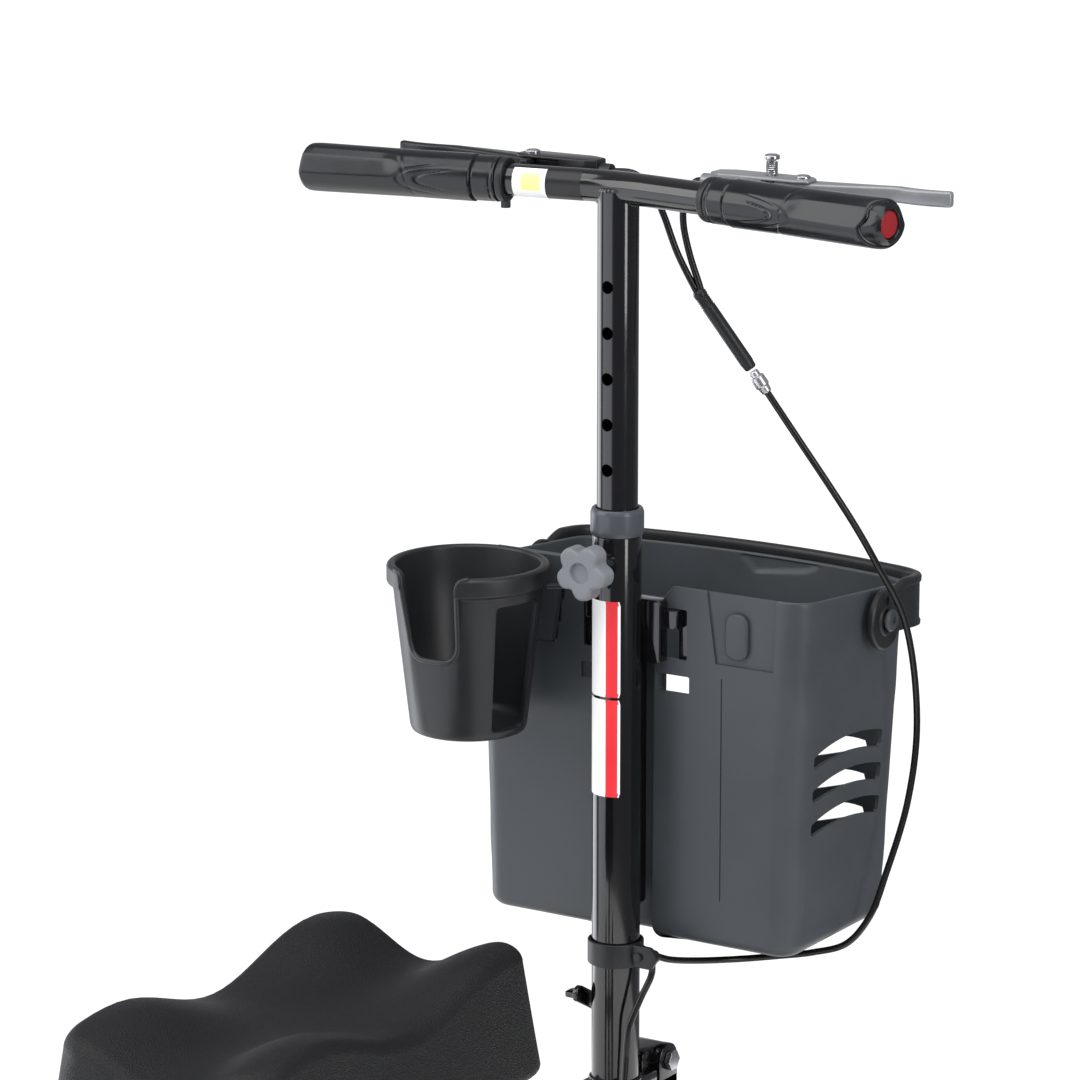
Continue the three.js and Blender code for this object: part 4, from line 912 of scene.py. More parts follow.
BASKET = {
    "near": 24, "bottom": 405, "top": 661, "bottom_half": 127, "top_half": 135.5, "far_corner": 180,
    "far_middle": 200, "bottom_depth": 0.91, "corner": 20, "wall": 3, "slope": 0.088,
    "channel_half": 15.2, "channel_depth": 12,
}
BAIL = {"y": 124.5, "z": 631, "inner": 139, "thick": 7, "bottom": 621, "top": 658, "eye": 21.5, "front": 214}
FAR_PANEL = ((-19, 647), (-2, 632), (41, 638), (56, 646))  # the step inside the far wall


def smooth(t):
    t = min(1, max(0, t))
    return t * t * (3 - 2 * t)


def basket_plan(inset):
    """The basket's outline at its rim, from the near left corner round by the right, with its normals."""
    half, near = BASKET["top_half"] - inset, BASKET["near"] + inset
    far, r = BASKET["far_corner"] - inset, BASKET["corner"] - inset
    edge = half - r
    points = []
    for low, high, steps in ((-edge, -24, 30), (-24, -8, 24), (-8, 8, 4), (8, 24, 24), (24, edge, 30)):
        for x in np.linspace(low, high, steps, endpoint=False):
            inside = smooth((BASKET["channel_half"] + inset + 0.9 - abs(x)) / 1.8)
            points.append((x, near + BASKET["channel_depth"] * inside))
    for a in np.linspace(-math.pi / 2, 0, 12, endpoint=False):
        points.append((edge + r * math.cos(a), near + r + r * math.sin(a)))
    points += [(half, y) for y in np.linspace(near + r, far - 22, 30, endpoint=False)]
    right = [tuple(p) for p in bezier2((half, far - 22), (half, far), (half - 30, far + 6), 12)[:-1]]
    points += right
    top = 2 * (BASKET["far_middle"] - inset) - far - 6
    points += [tuple(p) for p in bezier2((half - 30, far + 6), (0, top), (30 - half, far + 6), 80)[:-1]]
    points += [(-x, y) for x, y in reversed(right + [(half - 30, far + 6)])][:-1]
    points += [(-half, y) for y in np.linspace(far - 22, near + r, 31, endpoint=False)]
    for a in np.linspace(math.pi, 1.5 * math.pi, 12, endpoint=False):
        points.append((-edge + r * math.cos(a), near + r + r * math.sin(a)))
    points = np.array(points)
    ahead = np.roll(points, -1, axis=0) - np.roll(points, 1, axis=0)
    normals = np.stack([ahead[:, 1], -ahead[:, 0]], axis=1)
    normals /= np.linalg.norm(normals, axis=1)[:, None]
    return points, normals


def rim_height(x, y):
    height = BASKET["top"] - BASKET["slope"] * (y - BASKET["near"])
    if y < BASKET["near"] + 19:
        height = min(height, 648.2 + max(0, abs(x) - 19.4) * 1.15)
    return height


def always(value):
    return lambda *_: value


def basket_ring(plan, height, push=always(0)):
    """One ring of the shell. height(x, y) gives z, and push(x, y, z) moves it outwards."""
    ring = []
    for (x, y), (nx, ny) in zip(*plan):
        z = height(x, y)
        t = (z - BASKET["bottom"]) / (BASKET["top"] - BASKET["bottom"])
        out = push(x, y, z)
        x, y = x + nx * out, y + ny * out
        wide = BASKET["bottom_half"] / BASKET["top_half"]
        wide = wide + (1 - wide) * t
        deep = BASKET["bottom_depth"] + (1 - BASKET["bottom_depth"]) * t
        ring.append(at(x * wide, BASKET["near"] + (y - BASKET["near"]) * deep, z))
    return ring


def far_panel(x, y, z):
    """How deep a point of the inside lies in the stepped panel of the far wall, from 0 to 1."""
    (x0, z0), (x1, z1), (x2, z2), (x3, z3) = FAR_PANEL
    if y < 120:
        return 0
    base = np.interp(x, [x1, x2], [z1, z2])
    left = smooth((x - np.interp(z, [z1, z0], [x1, x0])) / 3 + 0.5)
    right = smooth((np.interp(z, [z2, z3], [x2, x3]) - x) / 3 + 0.5)
    return left * right * smooth((z - base) / 2.4 + 0.5)


def ribbed(x, y, z):
    """The side walls are slightly ribbed across, except round the upper vents."""
    if 500 <= z <= 560:
        return 0
    return 0.35 * math.sin((z - 440) / 9.5) * smooth((abs(x) - 130) / 4)


def basket_shell():
    bottom, wall, near = BASKET["bottom"], BASKET["wall"], BASKET["near"]
    outer, inner = basket_plan(0), basket_plan(wall)
    foot = 9
    turns = [math.pi / 2 * k / 7 for k in range(8)]

    def foot_ring(plan, base, a):
        return basket_ring(plan, always(base + foot * (1 - math.cos(a))), always(-foot * (1 - math.sin(a))))

    def wall_ring(plan, base, drop, t, push=always(0)):
        return basket_ring(plan, lambda x, y: base + (rim_height(x, y) - drop - base) * t, push)

    def rim_ring(plan, drop, push):
        return basket_ring(plan, lambda x, y: rim_height(x, y) - drop, push)

    rings = [basket_ring(outer, always(bottom), always(-shrink)) for shrink in (60, 40, 20)]
    rings += [foot_ring(outer, bottom, a) for a in turns]
    rings += [wall_ring(outer, bottom + foot, 12, t, ribbed) for t in np.linspace(0, 1, 46)[1:-1]]
    for drop in (10.6, 9.8, 9.1, 8.4, 5, 1.6, 0.8, 0.25):
        pull = 0 if drop > 1.7 else 1.6 - math.sqrt(max(0, 1.6 ** 2 - (1.6 - drop) ** 2))
        lip = 0.9 * smooth((9.5 - drop) / 1.4)
        rings.append(rim_ring(outer, drop, lambda x, y, z: lip * smooth((y - near - 100) / 10) - pull))
    for drop in (0.0, 0.25, 0.8, 1.6):
        pull = 1.2 - math.sqrt(max(0, 1.2 ** 2 - (1.2 - min(drop, 1.2)) ** 2))
        rings.append(rim_ring(inner, drop, always(pull)))
    for drop in (3, 5, 7, 9, 11, 13, 14, 15, 16, 17, 18, 20, 22, 24):
        rings.append(rim_ring(inner, drop, lambda x, y, z: 1.5 * far_panel(x, y, z)))
    rings += [wall_ring(inner, bottom + wall + foot, 25, t) for t in reversed(np.linspace(0, 1, 40)[1:-1])]
    rings += [foot_ring(inner, bottom + wall, a) for a in reversed(turns)]
    rings += [basket_ring(inner, always(bottom + wall), always(-shrink)) for shrink in (20, 40, 58)]
    return stack("basket_shell", rings)


def basket_openings(side):
    """The tools that cut the openings, panel and vents on one side of the basket."""
    near = BASKET["near"]

    def mirrored(points):
        return [(side * x, *rest) for x, *rest in points]

    def opening(x0, x1, z0, z1):
        corners = mirrored([(x, z, 1.5) for x, z in ((x0, z0), (x1, z0), (x1, z1), (x0, z1))])
        return plate("opening", round_corners(corners, 4), near - 8, near + 10.5, "y", 0)

    panel = mirrored([(56, 672), (113.5, 672), (111, 610), (65, 610)])
    line_top = 600 if side > 0 else 637
    line = mirrored([(70.6, 440), (70.6, line_top), (69.6, line_top), (69.6, 440)])
    slot = mirrored([(50, 531, 4), (93, 531, 4), (93, 549, 4), (50, 549, 4)])
    tools = [opening(17, 42, 609, 645), opening(17, 44, 585, 597.5),
             plate("panel", panel, near - 6, near + 1.7, "y", 0),
             plate("line", line, near - 6, near + 0.8, "y", 0),
             plate("slot", round_corners(slot, 5), near + 130, near + 192, "y", 0)]
    xs = sorted((side * 114, side * 146))
    for z in (490, 514.3, 538.6):
        upper = bezier2((144, z + 7), (94, z + 21), (46, z + 9), 14)
        lower = bezier2((46, z), (94, z + 7), (142, z - 5), 14)
        vent = []
        for edge in (lower, upper):
            radii = [3] + [0.01] * (len(edge) - 2) + [3]
            vent += [(*p, r) for p, r in zip(edge, radii)]
        tools.append(plate("vent", round_corners(vent, 4), *xs, "x", 0))
        far = bezier2((50, z - 35), (78, z - 27), (103, z - 18), 8)
        far += bezier2((101, z - 13), (76, z - 11), (48, z - 24), 8)
        tools.append(plate("vent", mirrored(far), near + 130, near + 192, "y", 0))
    return tools


def build_basket():
    near = BASKET["near"]
    shell = basket_shell()
    carve(shell, *basket_openings(-1), *basket_openings(1))
    parts = [shell]
    hinge = at(0, BAIL["y"], BAIL["z"])
    pin = [(0, 131), (4.9, 131), (4.9, 146.6), (7.8, 146.6), (7.8, 148.4), (6.6, 149.8), (2.8, 150),
           (2.6, 148.6), (0, 148.6)]
    ring = [(5, 132), (11, 132), (10, 137.4), (5, 137.4)]
    for side in (-1, 1):
        boss = [(side * x, z, 9) for x, z in ((73, 615), (91, 615), (91, 648), (73, 648))]
        parts.append(plate("boss", round_corners(boss, 8), near - 2.2, near + 2.2, "y", 1.8, 4))
        parts.append(lathe("pin", soften(pin, 0.5), hinge, (side, 0, 0), 48))
        parts.append(turned_ring("ring", ring, hinge, (side, 0, 0), 48, 0.6))
    piece(merge("basket_body", *parts), "basket", "basket_plastic", "basket")


def build_bail():
    thick, y0 = BAIL["thick"], BAIL["y"]
    half, corner = BAIL["inner"], BASKET["far_corner"] + 5
    middle = BAIL["front"] - thick
    line = [np.array([half, y]) for y in np.linspace(y0, corner - 22, 16, endpoint=False)]
    right = bezier2((half, corner - 22), (half, corner + 1), (half - 32, corner + 7), 16)[:-1]
    line += right
    line += bezier2((half - 32, corner + 7), (0, 2 * middle - corner - 7), (32 - half, corner + 7), 90)
    line += [np.array([-x, y]) for x, y in reversed(right)]
    line += [np.array([-half, y]) for y in np.linspace(corner - 22, y0, 17)[1:]]
    line = np.array(line)
    ahead = np.gradient(line, axis=0)
    normals = np.stack([ahead[:, 1], -ahead[:, 0]], axis=1)
    normals /= np.linalg.norm(normals, axis=1)[:, None]
    rings = []
    for (x, y), (nx, ny) in zip(line, normals):
        fall = BASKET["slope"] * (y - y0)
        low, high = BAIL["bottom"] - fall, BAIL["top"] - fall - 10 * smooth((y0 + 32 - y) / 32)
        section = [(0.6, low), (thick - 1.6, low), (thick - 0.5, low + 0.6), (thick - 0.3, low + 3),
                   (thick - 1.3, low + 5), (thick - 1.3, high - 6.5), (thick - 0.2, high - 5.2),
                   (thick, high - 1.8), (thick - 0.8, high - 0.5), (thick - 2, high), (2.4, high),
                   (1.0, high - 0.5), (0.3, high - 1.6), (0, high - 4), (0, low + 0.8)]
        rings.append([at(x + nx * out, y + ny * out, z) for out, z in section])
    parts = [stack("band", rings)]
    eye = BAIL["eye"]
    disc = [(r, half + h) for r, h in (
        (5.4, 0.2), (eye - 1, 0.2), (eye, 1.4), (eye, 4.6), (eye - 1.6, 6.0), (eye - 4, 6.2), (eye - 5, 5.4),
        (11.5, 5.4), (10.5, 6.8), (8.4, 6.8), (7.6, 5.2), (5.4, 5.2))]
    for side in (-1, 1):
        parts.append(turned_ring("eye", disc, at(0, y0, BAIL["z"]), (side, 0, 0), 72, 0.7))
    piece(merge("basket_handle", *parts), "bail", "black_plastic", "basket_bail")


def rounded_rectangle(x0, x1, z0, z1, low_r, high_r):
    return round_corners([(x0, z0, low_r), (x1, z0, low_r), (x1, z1, high_r), (x0, z1, high_r)])


def build_bracket():
    back = BASKET["near"] - 1.5
    inside = BASKET["near"] + BASKET["wall"] + 1
    parts = [plate("plate", rounded_rectangle(-27.5, 27.5, 607, 652, 3, 3), 12, back, "y", 1),
             plate("strip", rounded_rectangle(-11, 11, 430, 612, 4, 1), 12, back, "y", 1)]
    for part in parts:
        carve(part, drill(COLUMN_R + FIT, at(0, 0, 420), at(0, 0, 670), 96))
    for side in (-1, 1):
        parts.append(box("tab", sorted((side * 22, side * 37)), (19, inside + 3.5), (631, 644.6), 0.8))
        hook = rounded_rectangle(*sorted((side * 33, side * 47)), 605, 654, 2, 2)
        parts.append(plate("hook", hook, inside, inside + 3.5, "y", 0.9))
    for z in (450, 540, 590):
        parts.append(rod("screw", 4.2, at(0, 21.5, z), at(0, 24.6, z), 32, 0.8))
    for x in (-18, 18):
        parts.append(rod("screw", 3.4, at(x, 21.5, 622), at(x, 23.4, 622), 32, 0.6))
    piece(merge("bracket", *parts), "column", "black_paint", "basket_bracket")


# ---------------------------------------------------------------- cup holder

CUP = {"x": -98, "y": -38, "bottom": 554.5, "top": 674.5, "bottom_r": 41, "top_r": 53, "rim_r": 56.7}


def build_cup():
    low, high = CUP["bottom"], CUP["top"]
    bottom_r, top_r, rim_r = CUP["bottom_r"], CUP["top_r"], CUP["rim_r"]
    centre = at(CUP["x"], CUP["y"], 0)
    profile = [
        (0, low + 1.2), (24, low + 1.2), (26, low), (bottom_r - 5, low), (bottom_r - 1.4, low + 1.2),
        (bottom_r, low + 5), (top_r - 0.5, high - 15), (rim_r - 0.8, high - 13.5), (rim_r, high - 12.4),
        (rim_r, high - 1.6), (rim_r - 1.8, high), (top_r - 1.4, high), (top_r - 2.6, high - 1.4),
        (bottom_r - 2.6, low + 9), (bottom_r - 6, low + 5.2), (0, low + 5),
    ]
    cup = lathe("cup", soften(profile, 1.4), centre, UP, 128)
    half, notch_low = 23, high - 62
    lip = bezier2((-half - 7, high - 0.5), (-half, high - 1), (-half, high - 9), 8)
    lip += bezier2((-half + 3, notch_low + 14), (-half + 4, notch_low), (-half + 16, notch_low), 10)
    lip += bezier2((half - 16, notch_low), (half - 4, notch_low), (half - 3, notch_low + 14), 10)
    lip += bezier2((half, high - 9), (half, high - 1), (half + 7, high - 0.5), 8)
    outline = [(-half - 9, high + 5), (-half - 7, high + 0.5), *lip,
               (half + 7, high + 0.5), (half + 9, high + 5)]
    notch = plate("notch", [(CUP["x"] + x, z) for x, z in outline], CUP["y"] - 72, CUP["y"] - 12, "y", 0)
    turn = math.radians(-20)
    ahead = np.array([math.cos(turn), math.sin(turn), 0])
    across = np.array([-math.sin(turn), math.cos(turn), 0])
    corners = round_corners([
        (-10, low + 6.5, 4), (19, low + 6.5, 4), (27, high - 21.5, 4), (-13, high - 21.5, 4),
    ], 6)
    window = stack("window", [[centre + ahead * reach + across * a + [0, 0, z] for a, z in corners]
                              for reach in (25, 70)])
    carve(cup, notch, window)
    rounded(cup, 0.7, 3, 50)
    edge = []
    levels = [low + 5, high - 15, high - 13.5, high - 1]
    for x, z in lip:
        r = np.interp(z, levels, [bottom_r, top_r - 0.5, rim_r - 1, rim_r - 1]) - 1.2
        edge.append(at(CUP["x"] + x, CUP["y"] - math.sqrt(r * r - x * x), z))
    bead = sweep("bead", centripetal(edge, 160), 2.0, 16)
    piece(merge("cup_body", cup, bead), "column", "cup_plastic", "cup_holder")

    low, high = high - 14, high - 2
    end = CUP["x"] + 46
    arm = round_corners([(end, -42, 2), (-14, -13, 3), (-14, 13, 3), (end, -10, 2)])
    parts = [
        plate("arm", arm, low, high, "z", 1.4),
        box("saddle", (-23, -12), (-13, 13), (low - 3, high + 3), 1.6),
        plate("rib", [(end, -29), (-16, -3), (-16, 3), (end, -23)], low - 2, low + 1, "z", 0.6),
    ]
    for part in parts:
        carve(part, drill(COLUMN_R + FIT, at(0, 0, 600), at(0, 0, 720), 96),
              drill(rim_r + 0.5, centre + [0, 0, 600], centre + [0, 0, 720], 128))
    for z in (low + 2.5, high - 2.5):
        parts.append(rod("screw", 2.2, at(-24.2, 9.5, z), at(-22, 9.5, z), 24, 0.5))
    piece(merge("cup_arm", *parts), "column", "black_plastic", "cup_holder_arm")


# ---------------------------------------------------------------- knee rest

SEAT_Y = middle("seat_sleeve_collar")[1] - COLUMN_Y
PAD_LOW, PAD_HIGH = span("knee_pad")
PAD = {
    "half": 91, "top": 482, "dip": 23, "edge": 9, "corner": 26, "hump_middle": -371.5, "hump_reach": 150.5,
}
PAD["middle"] = (PAD_LOW[1] + PAD_HIGH[1]) / 2 - COLUMN_Y
PAD["length"] = (PAD_HIGH[1] - PAD_LOW[1]) / 2


def pad_top(x, y):
    """Height of the knee rest's upper face: a hollow with a hump at each corner."""
    u, v = abs(x) / PAD["half"], abs(y - PAD["hump_middle"]) / PAD["hump_reach"]
    hump = math.sin(min(1, u / 0.7) * math.pi / 2) ** 2 * math.sin(min(1, v / 0.71) * math.pi / 2) ** 2
    edge = 60 * (max(0, u - 0.7) ** 2 + max(0, v - 0.71) ** 2)
    return PAD["top"] - PAD["dip"] * (1 - hump) - edge


def pad_outline(inset):
    """Rounded rectangle of the pad's plan, with points spread evenly along its sides and corners."""
    half, length = PAD["half"] - inset, PAD["length"] - inset
    r = max(PAD["corner"] - inset * 0.6, min(half, length) * 0.3)
    r = min(r, half, length)
    x, y = half - r, length - r
    centres = [(x, y), (-x, y), (-x, -y), (x, -y)]

    def on_corner(i, degrees):
        (cx, cy), a = centres[i % 4], math.radians(degrees)
        return np.array([cx + r * math.cos(a), cy + r * math.sin(a)])

    points = []
    for i in range(4):
        points += [on_corner(i, 90 * i + 90 * k / 14) for k in range(14)]
        here, there = on_corner(i, 90 * i + 90), on_corner(i + 1, 90 * i + 90)
        points += [here + (there - here) * k / 22 for k in range(22)]
    return points


def build_knee_rest():
    bottom, edge = PAD_LOW[2], PAD["edge"]
    rings = []

    def ring(inset, height):
        return [at(x, PAD["middle"] + y, height(x, PAD["middle"] + y)) for x, y in pad_outline(inset)]

    for inset in (80, 50, 25):
        rings.append(ring(inset, lambda x, y: bottom))
    foot, lean = 7, 9
    for k in range(6):
        a = math.pi / 2 * k / 5
        rings.append(ring(foot * (1 - math.sin(a)), lambda x, y: bottom + foot * (1 - math.cos(a))))
    for t in np.linspace(0, 1, 14)[1:]:
        rings.append(ring(lean * t, lambda x, y: bottom + foot + (pad_top(x, y) - edge - bottom - foot) * t))
    for k in range(1, 12):
        a = math.pi / 2 * k / 11
        inset, drop = lean + edge * (1 - math.cos(a)), edge * (1 - math.sin(a))
        rings.append(ring(inset, lambda x, y: pad_top(x, y) - drop))
    for inset in np.linspace(lean + edge, PAD["half"] - 0.5, 48)[1:]:
        rings.append(ring(inset, pad_top))
    pad = piece(stack("knee_pad_foam", rings, 60), "seat", "pad_foam", "knee_pad")

    low, high = z_range("pad_board")
    half, length = PAD["half"] - 14, PAD["length"] - 14
    corners = [(x, PAD["middle"] + y, 24)
               for x, y in ((half, length), (-half, length), (-half, -length), (half, -length))]
    board = plate("board", round_corners(corners, 14), low, high, "z", 2.2, 4)
    bolts = [rod("bolt", 4.4, at(x, SEAT_Y + y, low - 6.6), at(x, SEAT_Y + y, low + 1), 6, 0.6)
             for x in (-44, 44) for y in (-50, 50)]
    piece(merge("knee_board", board, *bolts), "seat", "black_plastic", "pad_board")

    low, high = z_range("seat_post")
    radius = 15.9
    tube = ring_tube("tube", radius, radius - 2.2, at(0, SEAT_Y, low), at(0, SEAT_Y, high - 4), 96, 0.5)
    for i in range(6):
        z = high - 34 - i * 25.4
        carve(tube, drill(3.6, at(0, SEAT_Y - 30, z), at(0, SEAT_Y, z)))
    corners = [(x, SEAT_Y + y, 8) for x, y in ((55, 62), (-55, 62), (-55, -62), (55, -62))]
    top = plate("plate", round_corners(corners, 8), high - 5, high, "z", 1)
    parts = [tube, top, weld("bead", at(0, SEAT_Y, high - 5.4), UP, radius + 0.5, 1.6)]
    for side in (-1, 1):
        rib = round_corners([(SEAT_Y + side * 14.6, high - 4.6, 1), (SEAT_Y + side * 52, high - 4.6, 2),
                             (SEAT_Y + side * 14.6, 345, 2)], 5)
        parts.append(plate("rib", rib, -2, 2, "x", 0.6))
    piece(merge("knee_post", *parts), "seat", "black_paint", "seat_post")

    low, high = z_range("seat_sleeve_collar")
    collar = turned_ring("sleeve_ring", [(16.4, low), (21, low), (21, high - 2), (19, high), (16.4, high)],
                         at(0, SEAT_Y, 0), UP)
    piece(collar, "frame", "black_plastic", "seat_sleeve_collar")


# ---------------------------------------------------------------- frame and steering

WHEEL_R = z_range("front_left_tyre")[1] / 2
WHEEL_X = 170
KINGPIN_X = 130
REAR_Y = middle("rear_left_tyre")[1] - COLUMN_Y
AXLE_Z = 101.5
AXLE_R = 6
HEAD_R = 21
SPINE_R = 19
SLEEVE_BORE = 16.4
BEAM_R = 12.7


def build_frame():
    spine = [at(0, 0, 231), at(0, SEAT_Y, 170), at(0, REAR_Y + 2.3, 102.6)]

    def on_spine(part, y):
        a, b = spine[part:part + 2]
        return a + (b - a) * (y + COLUMN_Y - a[1]) / (b[1] - a[1])

    def bored(obj):
        """Cleared for the seat post, which slides inside the sleeve."""
        return carve(obj, drill(SLEEVE_BORE + 0.2, at(0, SEAT_Y, 100), at(0, SEAT_Y, 320), 72))

    def spine_bead(part, y):
        return weld("bead", on_spine(part, y), spine[part + 1] - spine[part], SPINE_R + 0.4, 2.0)

    parts = [
        ring_tube("head", HEAD_R, 17.9, at(0, 0, 150), at(0, 0, 270)),
        bored(rod("spine", SPINE_R, on_spine(0, -18.5), on_spine(0, SEAT_Y + 17.5), 72, 0.2)),
        bored(rod("spine", SPINE_R, on_spine(1, SEAT_Y - 17.5), on_spine(1, REAR_Y + 12), 72, 0.2)),
        spine_bead(0, -21), bored(spine_bead(0, SEAT_Y + 20)),
        bored(spine_bead(1, SEAT_Y - 20)), spine_bead(1, REAR_Y + 15),
        ring_tube("sleeve", 20, SLEEVE_BORE, at(0, SEAT_Y, 128), at(0, SEAT_Y, 300)),
        ring_tube("boss", 9, 3.4, at(0, SEAT_Y - 30, 283), at(0, SEAT_Y - 16.5, 283), 48),
        weld("bead", at(0, SEAT_Y - 20, 283), (0, 1, 0), 9.2, 1.0, 24),
        ring_tube("axle", 14, 11.5, at(-124, REAR_Y, AXLE_Z), at(124, REAR_Y, AXLE_Z)),
        ring_tube("flange", 27, 6.3, at(120, REAR_Y, AXLE_Z), at(125, REAR_Y, AXLE_Z)),
    ]
    for side in (-1, 1):
        x = side * KINGPIN_X
        parts += [
            ring_tube("cap", 13.6, 6.3, at(side * 112, REAR_Y, AXLE_Z), at(side * 124.4, REAR_Y, AXLE_Z)),
            weld("bead", at(side * 118.6, REAR_Y, AXLE_Z), (1, 0, 0), 14.6, 1.4),
            rod("beam", BEAM_R, at(side * 19.5, 0, 190), at(side * (KINGPIN_X - 11), 0, 190), 64, 0.2),
            ring_tube("kingpin_boss", 13, 7.3, at(x, 0, 160), at(x, 0, 222), 64),
            weld("bead", at(side * 21.5, 0, 190), (1, 0, 0), BEAM_R + 0.2, 1.7, 32),
            weld("bead", at(side * (KINGPIN_X - 13.5), 0, 190), (1, 0, 0), BEAM_R + 0.2, 1.6, 32),
        ]
    for corners in ([(-20, 154, 2), (-20, 215, 1), (-115, 200, 3)],
                    [(SEAT_Y + 19, 185, 1), (SEAT_Y + 19, 262, 2), (SEAT_Y + 85, 190, 3)]):
        parts.append(plate("gusset", round_corners(corners, 5), -2, 2, "x", 0.6))
    for z in (128, 297):
        parts.append(ring_tube("lip", 20.5, SLEEVE_BORE, at(0, SEAT_Y, z), at(0, SEAT_Y, z + 3)))
    piece(merge("frame_weldment", *parts), "frame", "black_paint", "main_frame")

    axle = [rod("axle", AXLE_R, at(-201, REAR_Y, AXLE_Z), at(201, REAR_Y, AXLE_Z), 48, 0.8)]
    for name, radius, x0, x1, sides, soft in (
            ("nut", 10.5, -199, -192.5, 6, 0.8), ("washer", 10.4, -192.6, -191.4, 48, 0.3),
            ("nut", 10.5, 192.5, 199, 6, 0.8), ("washer", 10.4, 191.3, 192.6, 48, 0.3)):
        axle.append(rod(name, radius, at(x0, REAR_Y, AXLE_Z), at(x1, REAR_Y, AXLE_Z), sides, soft))
    piece(merge("axle_and_nuts", *axle), "frame", "bright_steel", "rear_axle")


def link(name, start, end, radius, low, high, axis, bevel=1.0):
    """A flat link with round ends between two points of its plane."""
    a, b = np.array(start, float), np.array(end, float)
    along_link = (b - a) / np.linalg.norm(b - a)
    side = np.array([-along_link[1], along_link[0]])
    outline = []
    for centre, sign in ((b, 1), (a, -1)):
        for t in np.linspace(-math.pi / 2, math.pi / 2, 15):
            outline.append(centre + sign * (along_link * math.cos(t) + side * math.sin(t)) * radius)
    return plate(name, outline, low, high, axis, bevel)


ARM = 40  # from the steering axis and the kingpins back to the tie rods
ARM_Z = (120, 129.2)
ROD_Z = 134
STUD_X = 9


def rod_stud(x):
    """The stud and nut that hold a tie rod's eye."""
    return [rod("stud", 3.6, at(x, -ARM, 125), at(x, -ARM, 141), 32, 0.6),
            rod("stud_nut", 5.6, at(x, -ARM, 138.6), at(x, -ARM, 142.4), 6, 0.5)]


def build_spindle():
    pitman = round_corners([
        (-18, 2, 3), (-19, 6 - ARM, 5), (-12, -ARM - 9, 6), (12, -ARM - 9, 6), (19, 6 - ARM, 5), (18, 2, 3),
    ], 6)
    parts = [
        ring_tube("tube", 14.3, 11, at(0, 0, 112), at(0, 0, 284)),
        rod("crown", 21, at(0, 0, 275), at(0, 0, 294), 72, 1.2),
        ring_tube("lock_ring", 18, 14.2, at(0, 0, ARM_Z[0]), at(0, 0, ARM_Z[1])),
        plate("pitman", pitman, *ARM_Z, "z", 1.4),
        box("base", (-17, 17), (-24, FOLD_Y - 12.4), (288, 295.7), 1.2),
        box("bridge", (-17, 17), (FOLD_Y - 12, FOLD_Y + 12), (288, 295.7), 1.0),
    ]
    outline = [(FOLD_Y + 12, 288), (FOLD_Y + 12, FOLD_Z)]
    outline += [(FOLD_Y + 12 * math.cos(a), FOLD_Z + 12 * math.sin(a))
                for a in np.linspace(0.1, math.pi - 0.1, 18)]
    outline += [(FOLD_Y - 12, FOLD_Z), (FOLD_Y - 12, 288)]
    for side in (-1, 1):
        ear = plate("ear", outline, *sorted((side * 10.6, side * 17)), "x", 0.8)
        carve(ear, drill(4.3, at(-30, FOLD_Y, FOLD_Z), at(30, FOLD_Y, FOLD_Z), 40))
        parts += [ear, *rod_stud(side * STUD_X)]
    piece(merge("spindle_and_fork", *parts), "steering", "black_paint", "steering_spindle")


def build_knuckle(label, side):
    x, arm_x = side * KINGPIN_X, side * (KINGPIN_X + STUD_X)
    parts = [
        rod("kingpin", 7, at(x, 0, 100), at(x, 0, 232), 48, 0.8),
        rod("kingpin_nut", 11, at(x, 0, 222.3), at(x, 0, 229), 6, 0.9),
        rod("barrel", 13, at(x, 0, 110), at(x, 0, 159.7), 64, 1.0),
        link("knuckle_arm", (x, 0), (arm_x, -ARM), 8, *ARM_Z, "z"),
        box("block", (x - 12, x + 12), (-13, 13), (88, 116), 2.2),
        rod("stub_axle", AXLE_R, at(x, 0, AXLE_Z), at(side * 201, 0, AXLE_Z), 48, 0.8),
        weld("bead", at(x, 0, 116.4), UP, 13.2, 1.4, 32),
    ]
    piece(merge(f"knuckle_and_axle_{label}", *parts, *rod_stud(arm_x)), f"knuckle_{label}", "black_paint",
          f"steering_knuckle_{label}")
    nut = [rod("nut", 10.5, at(side * 192.5, 0, AXLE_Z), at(side * 198.5, 0, AXLE_Z), 6, 0.8),
           rod("washer", 10.2, at(side * 191, 0, AXLE_Z), at(side * 192.6, 0, AXLE_Z), 48, 0.3)]
    piece(merge(f"axle_nut_{label}", *nut), f"knuckle_{label}", "bright_steel", f"front_axle_nut_{label}")
    inner = side * STUD_X
    bar = [rod("bar", 3.6, at(inner + side * 5, -ARM, ROD_Z), at(arm_x - side * 5, -ARM, ROD_Z), 40, 0.6)]
    for eye_x in (inner, arm_x):
        bar.append(ring_tube("eye", 7.5, 4, at(eye_x, -ARM, ROD_Z - 4), at(eye_x, -ARM, ROD_Z + 4), 40, 0.6))
    for nut_x in (inner + side * 14, arm_x - side * 14):
        bar.append(rod("jam_nut", 4.6, at(nut_x - 2.2, -ARM, ROD_Z), at(nut_x + 2.2, -ARM, ROD_Z), 6, 0.5))
    piece(merge(f"track_rod_{label}", *bar), f"tie_rod_{label}", "bright_steel", f"tie_rod_{label}")


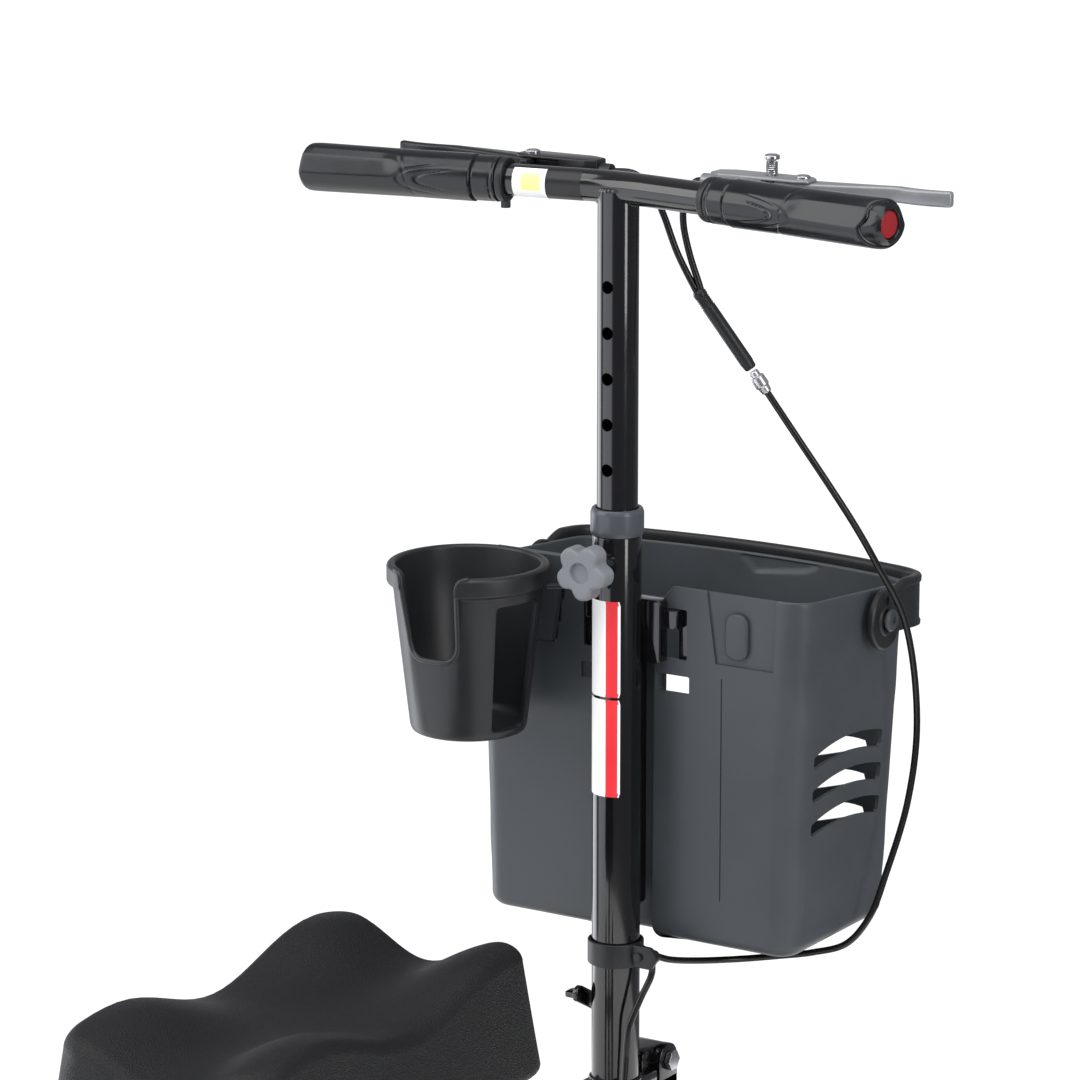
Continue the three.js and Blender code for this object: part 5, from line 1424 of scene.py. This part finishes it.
def build_fold_joint():
    pin = [rod("pin", radius, at(x0, FOLD_Y, FOLD_Z), at(x1, FOLD_Y, FOLD_Z), sides, soft)
           for radius, x0, x1, sides, soft in (
               (4, -27, 19, 40, 0.5), (7.5, -29, -25.4, 6, 0.6), (7.5, 17.4, 22, 6, 0.6))]
    piece(merge("hinge_pin", *pin), "column", "bright_steel", "fold_pin")
    tip, elbow, hub = (-12, 366), (40, 337), (FOLD_Y, FOLD_Z)
    y = tip[0]
    tab = round_corners([(-33, y - 4, 3), (-24, y - 4, 1), (-24, y + 8, 1), (-33, y + 8, 3)])
    parts = [
        link("arm", tip, elbow, 6, -25, -21, "x", 0.9),
        link("arm", elbow, hub, 7, -25, -21, "x", 0.9),
        ring_tube("hub", 9, 4.35, at(-25, FOLD_Y, FOLD_Z), at(-17.4, FOLD_Y, FOLD_Z), 48),
        plate("tab", tab, tip[1] - 3, tip[1] + 1, "z", 1.0),
    ]
    piece(merge("release_lever", *parts), "fold_lever", "black_paint", "fold_release_lever")


# ---------------------------------------------------------------- wheels


def tyre_mesh(name, centre):
    """A solid tyre with two grooves round the tread and notched shoulders."""
    profile = mirrored_profile([
        (74.3, -17), (78, -17.6), (86, -19.4), (91, -20), (94, -19.6), (97.5, -17.5), (99.8, -14),
        (100.6, -12), (100.9, -8.4), (101, -7.4), (99.2, -7), (99.2, -5.4), (101.2, -5), (101.45, -2),
    ])
    rings = []
    for k, a in enumerate(round_angles(216)):
        notch = 1.5 if k % 6 < 2 else 0
        ring = []
        for r, x in profile:
            shift = notch if 8 < abs(x) < 18 and r > 97 else 0
            ring.append(centre + [x, (r - shift) * math.cos(a), (r - shift) * math.sin(a)])
        rings.append(ring)
    return stack(name, rings, 30, loop=True)


def wheel_mesh(name, centre):
    """A moulded wheel with five windows between its spokes."""
    profile = mirrored_profile([
        (6.35, -18.8), (14, -19), (15, -18), (16.5, -8), (20, -6.6), (60, -4.2), (64, -7), (66, -16),
        (68, -17), (72.6, -17), (73, -15),
    ])
    wheel = turned_ring(name, profile, centre, (1, 0, 0), 96, 0.9, 3)
    corners = [(26, -0.3, 4), (56, -0.42, 4), (56.8, -0.2, 0.01), (57.2, 0, 0.01), (56.8, 0.2, 0.01),
               (56, 0.42, 4), (26, 0.3, 4), (25, 0, 0.01)]
    tools = []
    for turn in round_angles(5):
        outline = [(r * math.cos(turn + a), r * math.sin(turn + a), soft) for r, a, soft in corners]
        flat = round_corners(outline, 5)
        tools.append(stack("window", [[centre + [x, a, b] for a, b in flat] for x in (-30, 30)]))
    carve(wheel, *tools)
    return rounded(wheel, 0.8, 2, 50)


def build_wheels():
    for end, y in (("front", 0), ("rear", REAR_Y)):
        for side, x in (("left", -WHEEL_X), ("right", WHEEL_X)):
            name = f"{end}_{side}"
            centre = at(x, y, WHEEL_R)
            piece(tyre_mesh(f"{name}_tread", centre), name, "tyre_rubber", f"{name}_tyre")
            piece(wheel_mesh(f"{name}_hub", centre), name, "wheel_plastic", f"{name}_wheel")


def dress_cad_nodes():
    """The brake and the bushes keep their CAD shape, with rounded edges and their own materials."""
    shown = {
        "head_bush_upper": "bright_steel", "head_bush_lower": "bright_steel",
        "brake_backing_plate": "black_plastic", "brake_drum": "bright_steel", "brake_arm": "bright_steel",
        "brake_shoe_upper": "lever_metal", "brake_shoe_lower": "lever_metal",
    }
    for node, slot in shown.items():
        obj = bpy.data.objects[node]
        for place in obj.material_slots:
            place.material = MATERIALS[slot]
        shade(obj.data)
        bevel_edges(obj, 0.5, 2)


build_camera()
build_studio()
build_cables()
build_stem()
build_column()
build_label("column_label_upper", 586.5, 654.5)
build_label("column_label_lower", 515, 584.5)
build_bar_label()
star_knob("clamp_knob", "column_clamp_knob", "column_knob")
star_knob("knee_knob", "seat_clamp_knob", "seat_knob")
for sign, label in ((-1, "left"), (1, "right")):
    build_grip(sign, label)
build_levers()
build_clip()
build_basket()
build_bail()
build_bracket()
build_cup()
build_knee_rest()
build_frame()
build_spindle()
for sign, label in ((-1, "left"), (1, "right")):
    build_knuckle(label, sign)
build_fold_joint()
build_wheels()
dress_cad_nodes()
